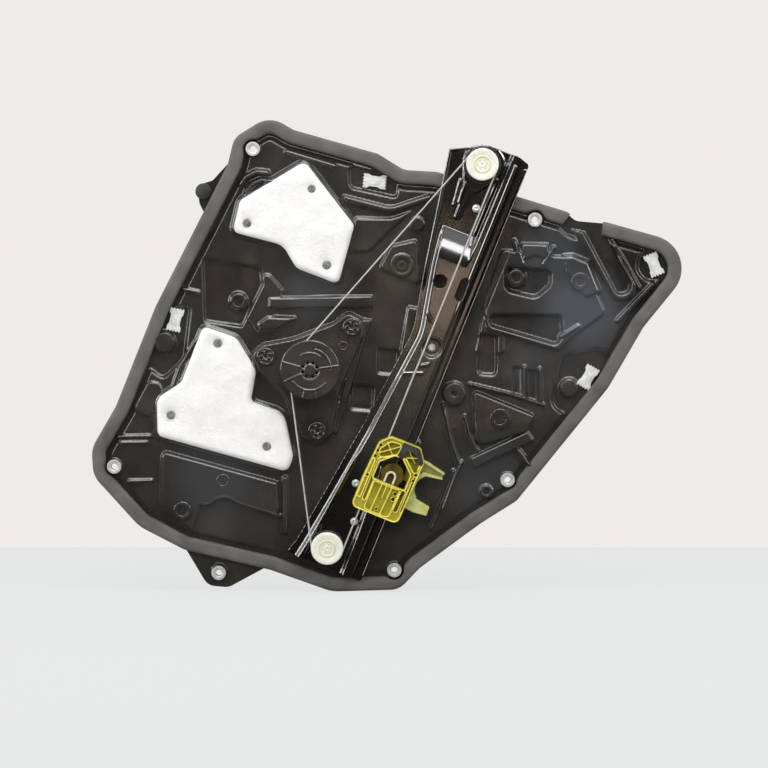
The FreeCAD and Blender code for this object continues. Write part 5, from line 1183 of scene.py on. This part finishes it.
def slider_height(s, t):
    """The slider's face: a tray floor with sunk pockets, rims and ribs that stand 3 mm above it, all rounded
    over, small round holes, and a soft drop to the underside at the outline and round the window."""
    level = np.full(s.shape, TRAY_FLOOR)
    for floor, line in SLIDER_POCKETS:
        depth = depth_inside(s, t, line)
        share = ramp(depth + 0.2, 0.8)
        level = level * (1 - share) + floor * share
        level = raised(level, ramp(1.0 - np.abs(depth + 0.4), 0.7), 31.8)
    for line, half in SLIDER_RIBS:
        level = raised(level, ramp(half + 0.5 - off_line(s, t, line), 0.7), 31.6)
    for hole_s, hole_t, radius in SLIDER_HOLES:
        away = np.hypot(s - hole_s, t - hole_t)
        sunk = ramp(radius + 0.2 - away, 0.6)
        level = level * (1 - sunk) + 23.0 * sunk
        level = raised(level, ramp(0.75 - np.abs(away - radius - 0.6), 0.5), 31.0)
    outer, inner = depth_inside(s, t, SLIDER_EDGE), -depth_inside(s, t, SLIDER_WINDOW)
    for depth in (outer, inner):
        level = raised(level, ramp(1.5 - np.abs(depth - 1.0), 0.7), 32.0)
    share = ramp(np.minimum(outer, inner), 0.7)
    seam = slider_seam(s, t)
    return seam + (level - seam) * share


def slider_depth(s, t):
    """How far inside the slider's outline and clear of its window."""
    return np.minimum(depth_inside(s, t, SLIDER_EDGE), -depth_inside(s, t, SLIDER_WINDOW))


yellow_finish = yellow_acetal()
tray = closed("slider_tray", (2, 48, 64, 138), 0.42, slider_height, slider_seam, slider_depth, rail_place)
dressed(tray, yellow_finish, "slider", ("slider_body",))

# The claw is paler and greener, and the light goes further into it.
pale_finish = finish(
    "pale_acetal", (0.6, 0.6, 0.22), 0.3, settings={"Subsurface Weight": 0.25, "Subsurface Scale": 0.004},
    tint=(120, 4.0, (0.46, 0.48, 0.13), (0.66, 0.66, 0.3)),
)
CLAW_BACK = 14
GLASS_SEAT = np.array([76.0, 96.5])
GLASS_SEAT_RADIUS = 15.2
turn = np.radians(np.linspace(128, 232, 17))
seat_wall = GLASS_SEAT + GLASS_SEAT_RADIUS * np.stack([np.cos(turn), np.sin(turn)], 1)
seat_web = np.concatenate([seat_wall, [(57.0, 84.0), (57.0, 109.0)]])
upper_finger = rounded([(60, 121.8, 1), (60, 124.6, 1), (85, 119.6, 1), (84.9, 117.4, 0.6)], 4)
lower_finger = rounded(
    [(60, 106, 1), (63, 112.2, 2), (84.6, 114.2, 0.6), (85, 112.2, 0.6), (68, 109.2, 3)], 4
)
finger_floor = rounded([(60, 108.5, 1), (60, 123.6, 1), (84.4, 118.8, 0.5), (84.4, 113.2, 0.5)], 4)
lower_claw = rounded([
    (57, 70.5, 1), (57, 86, 1), (61.6, 87.2, 1), (66.2, 83.4, 4), (83.2, 80.5, 1), (83.6, 70.8, 1),
    (69, 69, 4),
], 5)
claw = [(upper_finger, 24), (lower_finger, 24), (finger_floor, 16.5), (lower_claw, 24), (seat_web, 23.6)]
claw_parts = [prism(line, CLAW_BACK, top, rail_place) for line, top in claw]
dressed(gathered("glass_claw", claw_parts), pale_finish, "slider")
jaw_back = rounded([(52.0, 52, 1), (58.6, 52, 5), (58.9, 121.5, 3), (52.0, 121.5, 1)], 4)
SHOES = (56.0, 96.0)
SHOE_LENGTH = 20
jaw_parts = [prism(jaw_back, 13.9, 20.7, rail_place)]
for left, back, front in ((41.2, 7.9, 10.2), (47.0, 9.9, 14.2)):
    for low in SHOES:
        high = low + SHOE_LENGTH
        line = rounded([(left, low, 0.6), (58.5, low, 0.6), (58.5, high, 0.6), (left, high, 0.6)], 3)
        jaw_parts.append(prism(line, back, front, rail_place))
dressed(gathered("slider_jaw", jaw_parts), yellow_finish, "slider")
corner = rounded([
    (33.0, 134.2, 1), (51.4, 134.2, 5), (60.2, 121.6, 5), (59.4, 117.6, 0.5), (56.0, 117.8, 1),
    (51.7, 125.9, 2), (40.5, 128.2, 2), (38.2, 125.8, 1), (38.4, 117.2, 0.5), (33.6, 117.2, 0.5),
    (32.4, 122, 1),
], 4)
insert = gathered("damping_insert", [prism(corner, 27, 32.4, rail_place)])
dressed(insert, rubber, "slider", ("slider_insert",))
amber_finish = finish(
    "amber_acetal", (0.2, 0.13, 0.006), 0.35, tint=(120, 4.0, (0.1, 0.066, 0.004), (0.26, 0.18, 0.01))
)
keyhole = rounded([
    (26, 80, 1), (43, 80, 1), (44, 88, 4), (47.5, 97, 8), (43, 107, 8), (34.5, 110, 8), (26, 107, 8),
    (21.5, 97, 8), (25, 88, 4),
], 5)
disc = gathered("slider_disc", [prism(keyhole, 18.9, 20.6, rail_place)])
dressed(disc, amber_finish, "slider")
arch_finish = acetal("arch_acetal", (0.78, 0.76, 0.6), (0.62, 0.6, 0.45))
softened("retaining_clip", "glass_clip", 0.0003, arch_finish, "slider")
softened("cable_ferrules", "rope_ferrules", 0.0002, zinc_finish, "slider")

# Drum and drive. The acetal drum sits on the drive's shaft under the housing; the drive is screwed
# on from the cabin side through the three lobes.
gear_plastic = finish(
    "gear_case_plastic", (0.02, 0.02, 0.021), 0.45,
    tint=(80, 4.0, (0.014, 0.014, 0.015), (0.034, 0.034, 0.035)),
    dull=(200, 0.36, 0.56, 4.0), bumps=[(600, 4.0, 0.00006)],
)
for node, name, width, material, body, slot in (
    ("cable_drum", "rope_drum", 0.0002, cream_finish, "drum", "cream_plastic"),
    ("output_shaft", "drive_shaft", 0.0003, zinc_finish, "drum", "zinc_steel"),
    ("drive_gear_housing", "gear_case", 0.0008, gear_plastic, "carrier", "black_plastic"),
    ("drive_gear_cover", "gear_case_cover", 0.0005, gear_plastic, "carrier", "black_plastic"),
    ("drive_control_box", "control_case", 0.001, gear_plastic, "carrier", "black_plastic"),
    ("drive_motor_can", "motor_case", 0.0012, zinc_finish, "carrier", "zinc_steel"),
    ("drive_screws", "case_screws", 0.0005, zinc_finish, "carrier", "zinc_steel"),
):
    softened(node, name, width, material, body)
